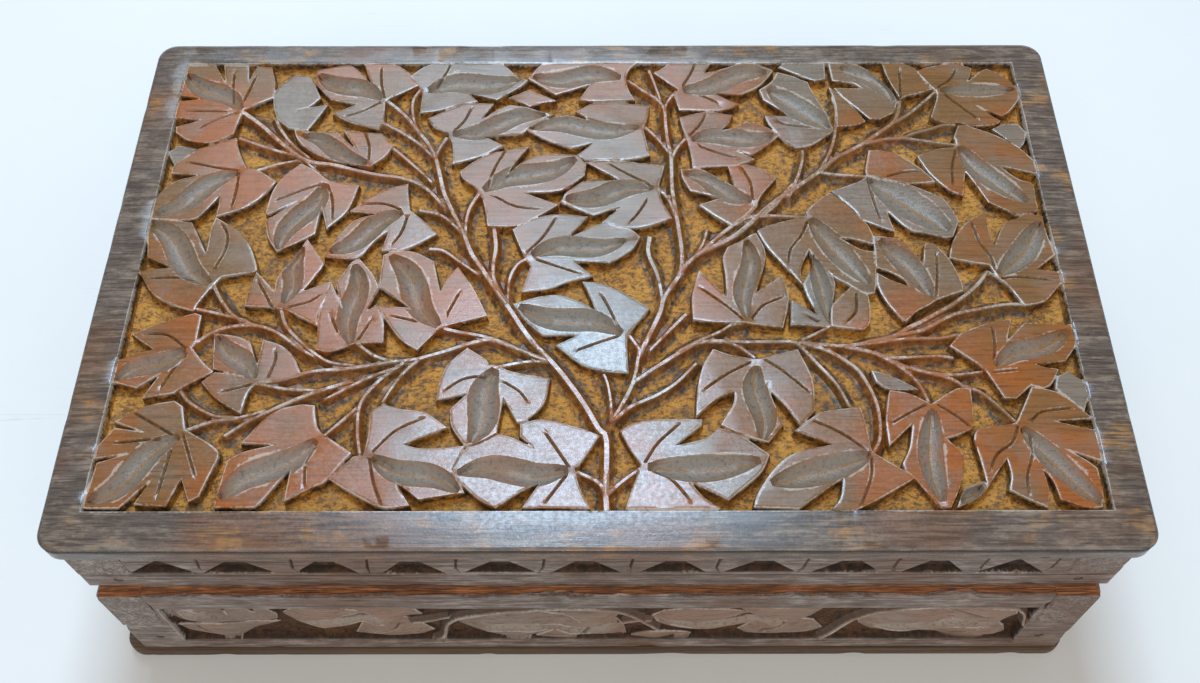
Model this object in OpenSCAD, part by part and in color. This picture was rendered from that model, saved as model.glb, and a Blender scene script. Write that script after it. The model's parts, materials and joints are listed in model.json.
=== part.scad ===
// Carved keepsake box: a shallow wooden base and a framed lid on two brass butt hinges.
// Millimetres. The origin is at the middle of the underside, +X to the right, +Y to the back, +Z up.

/* [Lid] */
// Width of the lid board, side to side
lid_w = 254; // [200:1:320]
// Depth of the lid board, front to back
lid_d = 156; // [120:1:220]
// Thickness of the lid board
lid_t = 6; // [5:0.5:10]
// Radius of the lid board's corners
lid_corner_r = 5; // [2:0.5:10]
// Height of the four rails under the lid board
rail_h = 19.2; // [16:0.2:30]
// How far the lid board stands over its front rail
lid_front_overhang = 1; // [0.5:0.1:4]
// How far the lid board stands over its side rails
lid_side_overhang = 3.9; // [1:0.1:6]
// How far the lid board stands over its back rail
lid_back_overhang = 4.4; // [4.3:0.1:6]
// Height of the lower finger in the lid's corner joints
rail_finger_h = 8.2; // [6:0.2:10]

/* [Base] */
// Height of the base's four walls
wall_h = 39; // [30:1:60]
// Thickness of the base's front wall
front_t = 12; // [9:0.5:16]
// Thickness of the base's back wall and of the lid's back rail
back_t = 11; // [10:0.5:16]
// Thickness of the base's side walls
side_t = 11; // [8:0.5:16]
// How far the base's front wall stands in front of the lid's front rail
front_step = 2.6; // [1:0.1:4]
// How far the lid's side rails stand outside the base's side walls
side_step = 1.5; // [0.5:0.1:3]
// Height of the lower finger in the base's corner joints
wall_finger_h = 19; // [14:1:24]
// Gap between the base and the closed lid
seam_gap = 0.3; // [0.2:0.1:0.6]

/* [Bottom board] */
// Thickness of the bottom board
bottom_t = 3.5; // [3:0.5:6]
// Radius of the bottom board's corners
bottom_corner_r = 5; // [2:0.5:10]
// How far the bottom board stands out in front of the base
bottom_front = 0.8; // [0.4:0.1:3]
// How far the bottom board stands out behind the base
bottom_back = 2; // [0.5:0.1:4]
// How far the bottom board stands out on the left
bottom_left = 5.2; // [1:0.1:5.4]
// How far the bottom board stands out on the right
bottom_right = 2.6; // [1:0.1:5.4]

/* [Lid carving] */
// Depth of the carved ground below the lid's top
field_depth = 3; // [1.5:0.5:3.5]
// Plain border at the left and right of the carved field
field_side = 9; // [6:0.5:14]
// Plain border at the front of the carved field
field_front = 9.6; // [6:0.2:14]
// Plain border at the back of the carved field
field_back = 7.4; // [6:0.2:14]

// How far the leaves lie below the face that they are carved in
leaf_drop = 0.4; // [0.2:0.1:1]
// How far the stems lie below the face that they are carved in
stem_drop = 1.2; // [0.6:0.1:1.4]
// Width of a stem
stem_w = 1.8; // [1:0.2:3]

/* [Chip carving on the rails] */
// Distance from one chip-cut triangle to the next
chip_pitch = 20; // [16:1:26]
// Width of a chip-cut triangle at its foot
chip_w = 14; // [8:1:15]
// Height of a chip-cut triangle
chip_h = 7.6; // [5:0.2:8]
// Depth of a chip-cut triangle
chip_depth = 2; // [1:0.5:3]
// Plain length of rail left at each end of the row of chips
chip_margin = 12; // [8:1:20]

/* [Panel carving on the walls] */
// Height of the carved panel
panel_h = 24.4; // [16:0.2:26]
// Height of the panel's lower edge above the bottom board
panel_foot = 5.8; // [4:0.2:8]
// Plain length of wall left at each end of a carved panel
panel_margin = 12.6; // [10:0.2:20]
// Depth of the panel's ground
panel_depth = 3; // [1:0.5:4]

/* [Hinges] */
// Length of a hinge along the seam
hinge_l = 25; // [20:1:40]
// Reach of a hinge leaf from the middle of its pin
leaf_w = 9; // [7:0.5:10]
// Thickness of a hinge leaf
leaf_t = 0.9; // [0.6:0.1:1.2]
// Diameter of the knuckles
knuckle_d = 4; // [3.6:0.1:4.1]
// Diameter of the pin
pin_d = 2; // [1.6:0.1:2.2]
// Diameter of the pin's heads
pin_head_d = 3; // [2.6:0.1:3.4]
// Thickness of the pin's heads
pin_head_t = 0.6; // [0.4:0.1:1]
// Distance from the base's side to the middle of a hinge
hinge_inset = 45; // [30:1:70]
// Distance between the two screws of a leaf
screw_pitch = 15; // [10:1:16]
// Diameter of a hinge screw's shank
screw_d = 1.7; // [1.4:0.1:2]
// Diameter of a hinge screw's head
screw_head_d = 3.3; // [2.6:0.1:3.6]
// Length of a hinge screw
screw_l = 9; // [6:1:12]

/* [Nails] */
// Diameter of a nail's shank
nail_d = 1.4; // [1:0.1:1.8]
// Diameter of a nail's head
nail_head_d = 2.2; // [2:0.1:3]
// Thickness of a nail's head
nail_head_t = 0.6; // [0.4:0.1:1]
// Length of a corner nail
corner_nail_l = 26; // [20:1:30]
// Length of a nail through the bottom board
bottom_nail_l = 16; // [10:1:20]
// Distance from the end of a wall or rail to its corner nail
corner_nail_in = 7; // [4:0.5:8]
// Widest distance between the bottom board's nails
bottom_nail_pitch = 75; // [40:5:120]

/* [Clearances] */
// Clearance round a hinge pin in its knuckles
pin_clearance = 0.05; // [0.03:0.01:0.1]
// Clearance between neighbouring knuckles, and between a knuckle and what it turns past
knuckle_clearance = 0.2; // [0.15:0.05:0.4]
// Clearance round a nail or screw in its hole
fastener_clearance = 0.05; // [0.03:0.01:0.1]
// Clearance at the ends and the inner edge of a hinge mortise
mortise_clearance = 0.1; // [0.05:0.05:0.3]

/* [Hidden] */
$fn = 48;
// A cutting tool runs this far past the face that it opens.
past = 1;

// The carved leaves and stems reach this far into the wood under their ground.
root = 0.5;

// Heights
wall_top = bottom_t + wall_h;
rail_foot = wall_top + seam_gap;
rail_top = rail_foot + rail_h;
box_h = rail_top + lid_t;

// Widths: the base hangs inside the lid's side rails by the side step
rail_x = lid_w / 2 - lid_side_overhang;
base_x = rail_x - side_step;
inner_x = base_x - side_t;
rail_side_t = rail_x - inner_x;

// Depths: the bottom board is the front-most edge and the lid board the back-most
box_d = bottom_front + front_step - lid_front_overhang + lid_d;
lid_back_y = box_d / 2;
lid_front_y = lid_back_y - lid_d;
rail_front_y = lid_front_y + lid_front_overhang;
back_y = lid_back_y - lid_back_overhang;
base_front_y = rail_front_y - front_step;
inner_front_y = base_front_y + front_t;
inner_back_y = back_y - back_t;
rail_front_t = inner_front_y - rail_front_y;

// The carved field of the lid
FIELD = [
    [field_side - lid_w / 2, lid_front_y + field_front],
    [lid_w / 2 - field_side, lid_back_y - field_back]
];

// Hinge line
knuckle_r = knuckle_d / 2;
axis_y = back_y + knuckle_r + knuckle_clearance;
axis_z = wall_top + seam_gap / 2;
hinge_x = base_x - hinge_inset;
knuckle_l = (hinge_l - 2 * knuckle_clearance) / 3;
leaf_inner_y = axis_y - leaf_w;
leaf_outer_y = axis_y - knuckle_r - knuckle_clearance;
screw_y = (leaf_inner_y + leaf_outer_y) / 2;

// Fasteners
corner_nail_x = base_x - corner_nail_in;
wall_nail_z = bottom_t + wall_finger_h / 2;
rail_nail_z = rail_foot + rail_finger_h / 2;

// Colours
walnut_face = [0.42, 0.36, 0.33];
walnut_top = [0.40, 0.29, 0.22];
walnut_bottom = [0.45, 0.32, 0.22];
brass = [0.72, 0.56, 0.28];
steel = [0.35, 0.33, 0.32];

// The vine on the lid, drawn by hand for a field between these two corners.
DRAWN_FIELD = [[-118, -68.4], [118, 70.6]];
LEAVES = [
    [[-98, -47.3], [-102, -39.3], [-115.3, -45], [-107.5, -47.9], [-117.6, -51.5], [-110, -53.5],
     [-117.4, -56], [-117.4, -67], [-109.8, -67], [-103.3, -60], [-106.5, -66.3], [-99, -66.9],
     [-96.6, -60], [-94, -65.8], [-91.8, -64.5], [-88.8, -54.8], [-91, -51.5]],
    [[-100.6, -24.2], [-99.6, -15], [-107, -16.2], [-116, -20.5], [-109.6, -25], [-117.4, -28],
     [-117.4, -34.3], [-111.8, -35.9], [-106.8, -31.9], [-109.8, -38], [-102.3, -37], [-94, -31.2]],
    [[-82.5, -34.3], [-72.5, -32], [-75, -27], [-83.2, -22], [-83.5, -29.8], [-86.3, -22.8],
     [-95.6, -20.2], [-94.2, -30.4], [-88, -32.2], [-93.5, -31.4], [-96.4, -34.2], [-85.6, -42.8]],
    [[-65.6, -48], [-68.2, -40.5], [-78.5, -43.2], [-84.2, -50.8], [-76, -51.2], [-86.6, -55.5],
     [-87.9, -67], [-79, -67], [-71.6, -57.3], [-72, -65.7], [-66, -62.3], [-58.4, -54]],
    [[-55, -53.6], [-54.6, -42.3], [-48, -41.6], [-36, -46.6], [-46, -51.2], [-31.5, -51.6],
     [-34, -57.5], [-31.5, -63.7], [-41.2, -65.4], [-47.3, -60.5], [-43.2, -66.9], [-49.4, -67],
     [-62.3, -60.4], [-56.8, -54.6]],
    [[-5.6, -57.4], [0.2, -49.2], [-13, -44.5], [-18.6, -45.8], [-14.9, -52.4], [-24.3, -48.6],
     [-31, -52.4], [-34, -58.6], [-23.4, -67], [-13.4, -61.1], [-17.3, -67], [-1.8, -67]],
    [[-26.9, -29.6], [-32.4, -24.5], [-38.6, -34.5], [-31.6, -37.4], [-35.6, -41.9], [-31.4, -51],
     [-24.4, -47.9], [-22.9, -38.6], [-19.3, -45.4], [-13, -40], [-11.8, -33.2]],
    [[-97.8, -5.3], [-88, -1.6], [-91, 7], [-100.8, 15], [-101.6, 3.8], [-106.3, 12.6], [-117.4, 14.6],
     [-116.5, 2.8], [-109.5, -0.4], [-117.4, -1.6], [-107, -12], [-102, -13.6]],
    [[-95.5, 32.4], [-100.2, 43.5], [-110.5, 38.4], [-115.4, 30.4], [-107.5, 29.9], [-117.4, 22],
     [-117.4, 15.6], [-108, 15.2], [-101, 22.8], [-100.6, 16.2], [-89.6, 22.8], [-87.2, 28]],
    [[-73.2, 28.3], [-80.7, 33.6], [-87, 24.5], [-88, 17], [-80.2, 20.8], [-87.6, 14.6], [-83.4, 4.6],
     [-74.2, 10.2], [-73.7, 19.8], [-71.4, 11.8], [-64.4, 26.4]],
    [[-80, -13], [-89.2, -12.2], [-87.4, -2.4], [-82.2, -8], [-82, -3.5], [-75.9, 8.4], [-71.4, -0.6],
     [-76, -8.3], [-69, -5.4], [-70.6, -17.8]],
    [[-60, -23.4], [-69.6, -25], [-69.8, -14], [-67.8, -5.6], [-64.6, -12.9], [-66.9, -5.6],
     [-61.8, 1.9], [-56.4, -6.6], [-58.4, -14], [-56.2, -12.4], [-53.6, -23.3]],
    [[-50, 17.8], [-51.2, 26.6], [-65.9, 17.8], [-58.4, 16.7], [-68.5, 9], [-70.6, 3.4], [-61.3, 3.9],
     [-55, 11.3], [-56.2, 5.6], [-42.4, 10.4]],
    [[-39.6, -19.3], [-44.7, -25.4], [-55.4, -12.3], [-47.4, -12.9], [-55.6, -6.2], [-55.4, 3.6],
     [-42.6, 1.6], [-40.2, -8.2], [-36.2, -0.4], [-28, -15.4]],
    [[-99.4, 52.4], [-91.8, 57.8], [-94.6, 69.4], [-98.2, 69.6], [-99.6, 63.8], [-100.8, 69.6],
     [-107.4, 69.6], [-106, 63.2], [-110, 69.6], [-117.4, 69.6], [-117.4, 58.6], [-111.6, 57.2],
     [-117.4, 56.2], [-117.4, 50], [-110, 49.4], [-116.6, 45], [-106, 41.8], [-101, 44.6]],
    [[-89.8, 50.6], [-91.4, 60], [-86.5, 66.5], [-82.2, 65.4], [-78.8, 57.4], [-84.2, 53.4],
     [-76.4, 54.6], [-80.6, 46.2]],
    [[-60.2, 56.4], [-51.2, 62.4], [-60, 69.6], [-67.4, 69.6], [-64.6, 62.6], [-73, 69.4],
     [-80.4, 67.8], [-80, 63], [-75.4, 57.4], [-68, 55.4], [-74, 52], [-61, 46.4]],
    [[-62, 32.8], [-56.6, 40], [-60, 44.4], [-70.2, 45.2], [-66, 38], [-72.6, 44.8], [-84, 46],
     [-79.5, 38.6]],
    [[-50, 60.4], [-53.4, 65.4], [-44, 69.6], [-30.5, 69.6], [-21, 64.4], [-28.8, 56.8], [-36.8, 59.2],
     [-34.6, 56.2], [-49.6, 52.4]],
    [[-41.6, 44.6], [-47.4, 50.2], [-43, 52.4], [-29.7, 54.9], [-32.7, 49.6], [-25, 54.4],
     [-13.4, 51.2], [-21.4, 44.8], [-31.9, 43.6], [-26.8, 40.4], [-39.5, 34.3]],
    [[-32.4, 24.6], [-37.2, 31], [-19.8, 39.4], [-25, 30.2], [-15, 36.8], [-6, 36.4], [-4.4, 29.8],
     [-10.4, 24.8], [-20, 23.7], [-11.4, 19.4], [-21.6, 12.8], [-29.2, 12.8]],
    [[9.6, -58], [5.4, -47.6], [13, -44.8], [24.6, -44.8], [18.2, -51.5], [28.8, -47.2], [34, -49.4],
     [39.8, -54], [30, -65.5], [21.2, -61], [27.6, -67], [6.6, -67]],
    [[39.3, -28], [28.2, -25.4], [23.6, -43.4], [27.5, -40], [32.8, -37], [29.4, -46.2], [40.2, -50.4],
     [44, -46], [41.2, -36.6], [48, -46.2], [51.6, -42.4], [49, -25.6]],
    [[64, -53.4], [63.2, -42], [52.4, -43.8], [47, -47.6], [55.1, -51.4], [41, -57.4], [36.6, -64],
     [36.4, -67], [46, -67], [56.9, -60], [54, -67], [60, -67], [72.4, -60.4]],
    [[79.8, -41], [75, -38.2], [70.5, -37.2], [68.6, -50.4], [74.8, -45.9], [73.5, -52.3],
     [71.4, -57.4], [79.2, -67], [84, -61], [85.6, -54.4], [82.2, -49.8], [88.5, -47.6], [89.6, -37],
     [86.5, -37]],
    [[99.5, -45.9], [90.2, -47.6], [89.2, -51], [90.2, -61.6], [95.7, -55], [95.2, -63.2],
     [102.8, -67], [103.5, -57.3], [106.3, -65.5], [115.4, -67], [116.2, -57.7], [109.9, -52.7],
     [117.4, -55.6], [117.4, -47.9], [108.5, -45.4], [117.4, -44.7], [109.5, -37], [104.4, -37.4]],
    [[94.5, -31.1], [87, -24.3], [92, -20.4], [102.4, -17], [101.1, -22.8], [106.3, -18], [117.4, -18.4],
     [117.4, -24], [106.3, -29.7], [112.2, -31.2], [107.6, -36], [98.1, -38.6]],
    [[7.2, -20.8], [12.8, -12.9], [-3.8, -5.2], [-0.8, -13.6], [-10, -9.2], [-21.2, -11.8],
     [-13.8, -20.8], [-5, -20.8], [-10.2, -24], [1, -30.6], [7, -31.2]],
    [[-19.4, 3.2], [-22.2, 11.4], [-11.5, 16.2], [-3.2, 15.5], [-8, 8.9], [0.8, 13.7], [10.2, 9.3],
     [2.8, 0.9], [-6.8, 1.6], [-1.8, -3.4], [-19.3, -7.6]],
    [[15.9, 25.8], [17.4, 33.2], [-3.6, 34.4], [5.4, 28.2], [-8.4, 24], [-10, 20.6], [-2, 16.6],
     [5.4, 18.8], [1.2, 14.4], [18.9, 15.3]],
    [[37.2, -17.4], [23.9, -16.4], [25.8, -2], [32.3, -9.6], [32.4, 2.2], [40.8, 9.6], [39.8, -8.4],
     [46.6, -3.6], [47.2, -18]],
    [[54.5, 15.3], [44.4, 12.4], [42, 10.6], [50, -3.3], [51.6, -5.6], [54.2, 4.6], [59.8, -3.1],
     [67.6, -8.8], [70.6, -7], [70.6, 4.2], [62.7, 8.7], [71.4, 7], [61.8, 23], [57, 19.4]],
    [[41.6, 19.6], [47.2, 28.2], [40.5, 33], [35.2, 32.4], [36.1, 25.9], [22.3, 31.6], [24.4, 24.4],
     [32.6, 21.9], [26.8, 19.4], [35, 12.9]],
    [[57.9, -18.2], [54.5, 4], [52, -6.2], [54.7, -15], [48.6, -11], [48.1, -17.8]],
    [[58.2, -18.2], [58.6, -13.3], [64.2, -6.8], [68, -9.4], [67.6, -17.2], [66, -19.2]],
    [[85, -10.9], [76.4, -16.8], [72.6, -11.7], [71.4, -6.7], [71.4, -2.4], [79, -6.5], [71.6, -1],
     [71.9, 8.9], [77.8, 8.1], [80.6, 5.4], [83.7, -0.4], [84.8, 6.4], [91.4, 0], [92.2, -7.8]],
    [[72.2, 28.8], [62.4, 24.2], [68.8, 15.3], [77.2, 11.2], [76, 18], [81, 11.9], [91, 9],
     [94.2, 14.2], [91.5, 21], [82, 26.3]],
    [[72, 29.6], [73.6, 37.9], [80.5, 36.8], [86, 32.2], [90, 27.2], [81.9, 26.8]],
    [[102.4, -4], [90.7, 2.2], [93.4, 9.4], [99.9, 15.5], [102, 16.5], [102.5, 5.6], [106.5, 12.8],
     [116.6, 16], [117.4, 3.4], [112, -1.2], [117.4, -2.4], [113.4, -10.2], [107.4, -12.2]],
    [[7.4, 64.8], [11.2, 69.6], [-14, 69.6], [-19.9, 65], [-12.4, 59], [-2.6, 62.6], [-5.2, 56.8],
     [9.6, 56.6]],
    [[12, 46.8], [13.7, 54.8], [-1.5, 55.4], [-6.6, 52.4], [-2.8, 49.3], [-16, 49], [-20, 46.2],
     [-7.8, 39.6], [-1.8, 41.1], [-5.6, 36.4], [13.4, 36.8]],
    [[22.2, 60.8], [15.8, 67.2], [19.4, 69.6], [31, 69.6], [29.6, 66.8], [40, 69.6], [49, 67.6],
     [39.6, 58.8], [31.8, 59.3], [38.5, 55], [34, 53.1], [22.4, 53.4]],
    [[24, 41.8], [22.5, 50], [36.8, 51], [33.4, 45.8], [41, 48.5], [49, 43.8], [41.6, 37.2],
     [37, 38.4], [41.8, 35.4], [36.4, 33.5], [25.5, 32.5]],
    [[64.4, 46.1], [53.9, 39.8], [46.2, 48.4], [46.4, 50.8], [53, 50.9], [46.4, 56.2], [45.6, 60.2],
     [50.5, 66.6], [58.6, 63], [63.3, 51]],
    [[65, 46.8], [65, 61], [74, 48.8]],
    [[83.5, 55.8], [81.9, 60.6], [75, 69.3], [66, 69.6], [66.4, 64], [74.2, 60.8], [66.6, 60.6],
     [70.8, 54.7], [75.3, 49.9], [81.9, 52.2]],
    [[84.3, 56.9], [81.4, 69.6], [88, 69.6], [90.2, 66.4], [93.6, 60.8], [87, 58.5]],
    [[94.9, 60], [91.2, 67.2], [96, 69.4], [105.6, 69.2], [104, 63.5], [110.8, 68.2], [117, 62.2],
     [117, 57.2], [112.2, 51], [105.4, 54.5], [111.2, 49], [103.1, 47.4], [92.6, 50.2]],
    [[97.9, 40.4], [87, 36.1], [94.2, 24], [97.1, 22.8], [98.8, 30.9], [101.4, 26], [103.6, 20.6],
     [113.5, 16.8], [115.6, 18.2], [115.9, 26], [108.1, 32.5], [117.4, 30.2], [117.4, 34.3],
     [103, 45.6], [99.4, 46.6]]
];
STEMS = [
    [[2, -68], [1.9, -50], [-4, -39.5], [-17, -22], [-27, -6], [-33, 4], [-39, 18], [-43, 30],
     [-47, 41], [-59.5, 56.5]],
    [[1.8, -64], [-5, -58.2]], [[2.2, -64], [10, -57.4]],
    [[3.5, -44.5], [8.5, -34], [10, -25], [15.5, -14], [20, -4], [34, 12], [52, 27], [77.8, 45.2],
     [84.2, 56]],
    [[20.8, -3], [20, 20], [18.3, 48], [16, 57], [8, 64]],
    [[34, 12], [44, 16], [54, 15.4]],
    [[-41, 19], [-52, 28.5], [-80, 35.3], [-99.5, 52.5]], [[-97, 32], [-82, 35.2]],
    [[-17, -22], [-31, -23], [-50, -28.3], [-60, -23.6]],
    [[-50, -28.4], [-70, -31.3], [-83, -34.2]], [[-60, -29], [-80, -19.6], [-101, -24.2]],
    [[-86, -17.8], [-98, -6]], [[-70, -26], [-80, -13]],
    [[-48, -29], [-57, -39.5], [-56, -53.5]], [[-52, -32], [-84, -45.3], [-97.5, -47.2]],
    [[-26.5, -5], [-22, -1], [-18.8, 3]], [[-33, 4], [-42, 16.5], [-50, 18]],
    [[-13, -28], [-26, -29.6]], [[-25, -22], [-39.5, -19.2]], [[-41.5, 24], [-35, 17], [-32, 24]],
    [[-50.5, 46], [-50, 60.2]], [[-44.6, 36], [-42, 44.4]],
    [[4, -44.5], [19, -34.5], [38.5, -27.6]],
    [[9, -34], [24, -23.5], [48.7, -23.2], [61, -42]],
    [[50, -23], [63.3, -30.9], [67.1, -45.5], [64.2, -53.6]],
    [[61, -24.5], [75.5, -31.8], [79.4, -40]], [[71.5, -28.2], [91.9, -37], [99.4, -45.6]],
    [[86, -33], [94.3, -31.3]],
    [[50.3, -22.2], [68.7, -22.2], [89.6, -11.7], [102.3, -4]], [[68, -22.3], [96, -13.3], [108, -12.2]],
    [[20, -25.5], [37.2, -17.4]], [[73.3, 41.2], [83.3, 43], [98.5, 47.4]], [[83.3, 43], [97.8, 40.4]],
    [[81.5, 48.4], [94.9, 60]], [[59.6, 31], [72, 29.3]], [[62, 36], [64.6, 46]],
    [[20, 16], [15.9, 25.6]], [[19.5, 36], [12.2, 46.8]], [[19.5, 34], [24, 41.8]],
    [[18.3, 52], [22, 60.6]], [[34, 12], [41.6, 19.4]], [[-54, 28.4], [-62, 32.8]]
];

// The vine on the front panel, drawn by hand for a panel between these two corners.
DRAWN_PANEL = [[-109, 0], [109, 24.4]];
// The stretch of it that the shorter side panels repeat.
DRAWN_SIDE_PANEL = [[-81.5, 0], [58.5, 24.4]];
PANEL_LEAVES = [
    [[-108, 14], [-103, 11.4], [-82, 10.4], [-90, 5.8], [-94.5, 0.6], [-100, 0.6], [-106, 5.2],
     [-108.4, 9.8]],
    [[-108, 15], [-108, 24], [-96.4, 23.8], [-94.3, 14.8], [-90.6, 23.8], [-88, 23.6], [-86.5, 16.6],
     [-82, 17], [-84, 13.4], [-94, 14.2]],
    [[-80, 17], [-72, 23.4], [-61, 18.4], [-64, 23.6], [-46, 20.8], [-50, 12.8], [-59, 10.6],
     [-47, 10.6], [-43, 4.8], [-64, 1.4], [-61, 9.6], [-71, 4.4], [-80, 10]],
    [[-37, 12], [-30, 17.2], [-22, 20.2], [-10, 14.8], [-15.6, 20.4], [-1, 21.4], [4, 12], [-1, 10],
     [6, 6.6], [5, 0.4], [-16, 0.6], [-12, 4.4], [-22, 0.6], [-30, 3]],
    [[13, 14], [20, 20], [24, 21.6], [38, 16.8], [34.4, 22.6], [56.4, 22.6], [54, 16], [46, 11.4],
     [55, 10.6], [57.6, 5], [40, 1.8], [40, 9.2], [28, 5], [14, 11.6]],
    [[66, 14], [70, 17.8], [78.5, 21.2], [89, 17.2], [84.4, 22.2], [104, 21.8], [103, 15.8],
     [92, 11], [102.6, 9.6], [106, 3], [82.4, 1], [89, 6.2], [78, 1], [68, 6.4]]
];
PANEL_STEMS = [
    [[-44, 0], [-40.5, 3], [-36, 15.7], [-18, 21.7], [0, 21.7], [12, 12], [15, 6.8]],
    [[8, 0], [13, 4], [24, 1]],
    [[57, -1], [63, 12], [72, 21], [88, 23.6]]
];
SIDE_PANEL_LEAVES = [for (i = [2, 3, 4]) PANEL_LEAVES[i]];
SIDE_PANEL_STEMS = [for (i = [0, 1]) PANEL_STEMS[i]];

// A slab with round corners, from z = 0 up.
module rounded_slab(x0, y0, x1, y1, h, r) {
    translate([x0 + r, y0, 0]) cube([x1 - x0 - 2 * r, y1 - y0, h]);
    translate([x0, y0 + r, 0]) cube([x1 - x0, y1 - y0 - 2 * r, h]);
    for (x = [x0 + r, x1 - r], y = [y0 + r, y1 - r])
        translate([x, y, 0]) cylinder(r = r, h = h);
}

// A block between two corners.
module block(low, high) {
    translate(low) cube(high - low);
}

// One chip: a triangular prism that stands on z = 0 and cuts from y = 0 into +Y.
module chip() {
    translate([0, chip_depth, 0]) rotate([90, 0, 0])
        linear_extrude(chip_depth + past) polygon([[-chip_w / 2, 0], [chip_w / 2, 0], [0, chip_h]]);
}

// The row of chips along a rail of the given length, centred on x = 0.
module chip_row(length) {
    room = length - 2 * chip_margin - chip_w;
    gaps = max(0, floor(room / chip_pitch));
    for (i = [0 : gaps])
        translate([(i - gaps / 2) * chip_pitch, 0, rail_foot + rail_finger_h]) chip();
}

// Moves a point drawn for one rectangle to the same place in another.
function fit(p, drawn, place) = [
    for (i = [0, 1])
        place[0][i] + (p[i] - drawn[0][i]) * (place[1][i] - place[0][i]) / (drawn[1][i] - drawn[0][i])
];

// The point beside point i of a stem, half a stem's width to its left, or to its right with side -1.
function stem_edge(p, i, side) =
    let(along = p[min(len(p) - 1, i + 1)] - p[max(0, i - 1)])
    p[i] + side * stem_w / 2 * [-along[1], along[0]] / norm(along);

// The outline of a stem along its points.
function stem_outline(p) = concat(
    [for (i = [0 : len(p) - 1]) stem_edge(p, i, 1)],
    [for (i = [len(p) - 1 : -1 : 0]) stem_edge(p, i, -1)]);

// A raised vine in a sunk place: it stands on z = -depth and stays under z = 0.
module vine(leaves, stems, drawn, place, depth) {
    translate([0, 0, -depth - root]) {
        for (leaf = leaves)
            linear_extrude(depth + root - leaf_drop) polygon([for (p = leaf) fit(p, drawn, place)]);
        for (stem = stems)
            linear_extrude(depth + root - stem_drop)
                polygon(stem_outline([for (p = stem) fit(p, drawn, place)]));
    }
}

// The vine in a sunk panel of a wall of the given length, on a face that looks to -Y.
module panel_vine(length, leaves, stems, drawn) {
    half = length / 2 - panel_margin;
    low = bottom_t + panel_foot;
    rotate([90, 0, 0]) vine(leaves, stems, drawn, [[-half, low], [half, low + panel_h]], panel_depth);
}

// The sunk panel in a wall of the given length, centred on x = 0, cut from y = 0 into +Y.
module panel_cut(length) {
    half = length / 2 - panel_margin;
    low = bottom_t + panel_foot;
    block([-half, -past, low], [half, panel_depth, low + panel_h]);
}

// Puts a shape that faces -Y at y = 0 onto the left or right side, facing outwards.
module on_side(side, x, y) {
    translate([side * x, y, 0]) rotate([0, 0, side * 90]) children();
}

// A nail along +Z whose head is sunk flush at z = 0, grown by a clearance for its hole.
module nail(length, grow) {
    cylinder(d = nail_d + 2 * grow, h = length + grow);
    cylinder(d = nail_head_d + 2 * grow, h = nail_head_t);
}

// The corner nails of the lid or the base, driven through the front and back lower fingers.
module corner_nails(front_y, z, grow) {
    for (side = [-1, 1]) {
        translate([side * corner_nail_x, front_y, z]) rotate([-90, 0, 0]) nail(corner_nail_l, grow);
        translate([side * corner_nail_x, back_y, z]) rotate([90, 0, 0]) nail(corner_nail_l, grow);
    }
}

// The nails that hold the bottom board under the walls.
module bottom_nails(grow) {
    front_mid = (base_front_y + inner_front_y) / 2;
    back_mid = (inner_back_y + back_y) / 2;
    side_mid = (base_x + inner_x) / 2;
    first_x = inner_x - corner_nail_in;
    gaps_x = ceil(2 * first_x / bottom_nail_pitch);
    for (i = [0 : gaps_x], y = [front_mid, back_mid])
        translate([first_x * (2 * i / gaps_x - 1), y, 0]) nail(bottom_nail_l, grow);
    first_y = inner_front_y + corner_nail_in;
    last_y = inner_back_y - corner_nail_in;
    gaps_y = ceil((last_y - first_y) / bottom_nail_pitch);
    for (i = [0 : gaps_y], side = [-1, 1])
        translate([side * side_mid, first_y + (last_y - first_y) * i / gaps_y, 0]) nail(bottom_nail_l, grow);
}

// Runs its children at both screws of a hinge whose middle is at x.
module at_screws(x) {
    for (side = [-1, 1]) translate([x + side * screw_pitch / 2, screw_y, 0]) children();
}

// A countersunk screw along -Z with its head flush at z = 0, grown by a clearance for its hole.
module screw(grow) {
    head_h = (screw_head_d - screw_d) / 2;
    translate([0, 0, -screw_l - grow]) cylinder(d = screw_d + 2 * grow, h = screw_l + grow);
    translate([0, 0, -head_h])
        cylinder(d1 = screw_d + 2 * grow, d2 = screw_head_d + 2 * grow, h = head_h);
}

// The mortise for a hinge leaf whose seam face is at z, cut downwards, open at the back.
module mortise(x, z) {
    half = hinge_l / 2 + mortise_clearance;
    block([x - half, leaf_inner_y - mortise_clearance, z - leaf_t], [x + half, back_y + past, z + past]);
}

// What the hinges cut from the wood under them, with the seam face at z.
module hinge_cuts(z) {
    for (side = [-1, 1]) {
        mortise(side * hinge_x, z);
        at_screws(side * hinge_x) translate([0, 0, z]) screw(fastener_clearance);
    }
}

// Turns a shape made for the base over the hinge line into the lid.
module to_lid() {
    translate([0, 0, 2 * axis_z]) mirror([0, 0, 1]) children();
}

// A hinge leaf of the base: a plate in the seam and the knuckles named by their places, 0 to 2.
module hinge_leaf(x, places) {
    left = x - hinge_l / 2;
    difference() {
        union() {
            block([left, leaf_inner_y, wall_top - leaf_t], [left + hinge_l, leaf_outer_y, wall_top]);
            for (i = places) translate([left + i * (knuckle_l + knuckle_clearance), 0, 0]) {
                block([0, leaf_outer_y, wall_top - leaf_t], [knuckle_l, axis_y, wall_top]);
                translate([0, axis_y, axis_z]) rotate([0, 90, 0]) cylinder(d = knuckle_d, h = knuckle_l);
            }
        }
        translate([left - past, axis_y, axis_z]) rotate([0, 90, 0])
            cylinder(d = pin_d + 2 * pin_clearance, h = hinge_l + 2 * past);
        at_screws(x) translate([0, 0, wall_top]) screw(fastener_clearance);
    }
}

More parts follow.
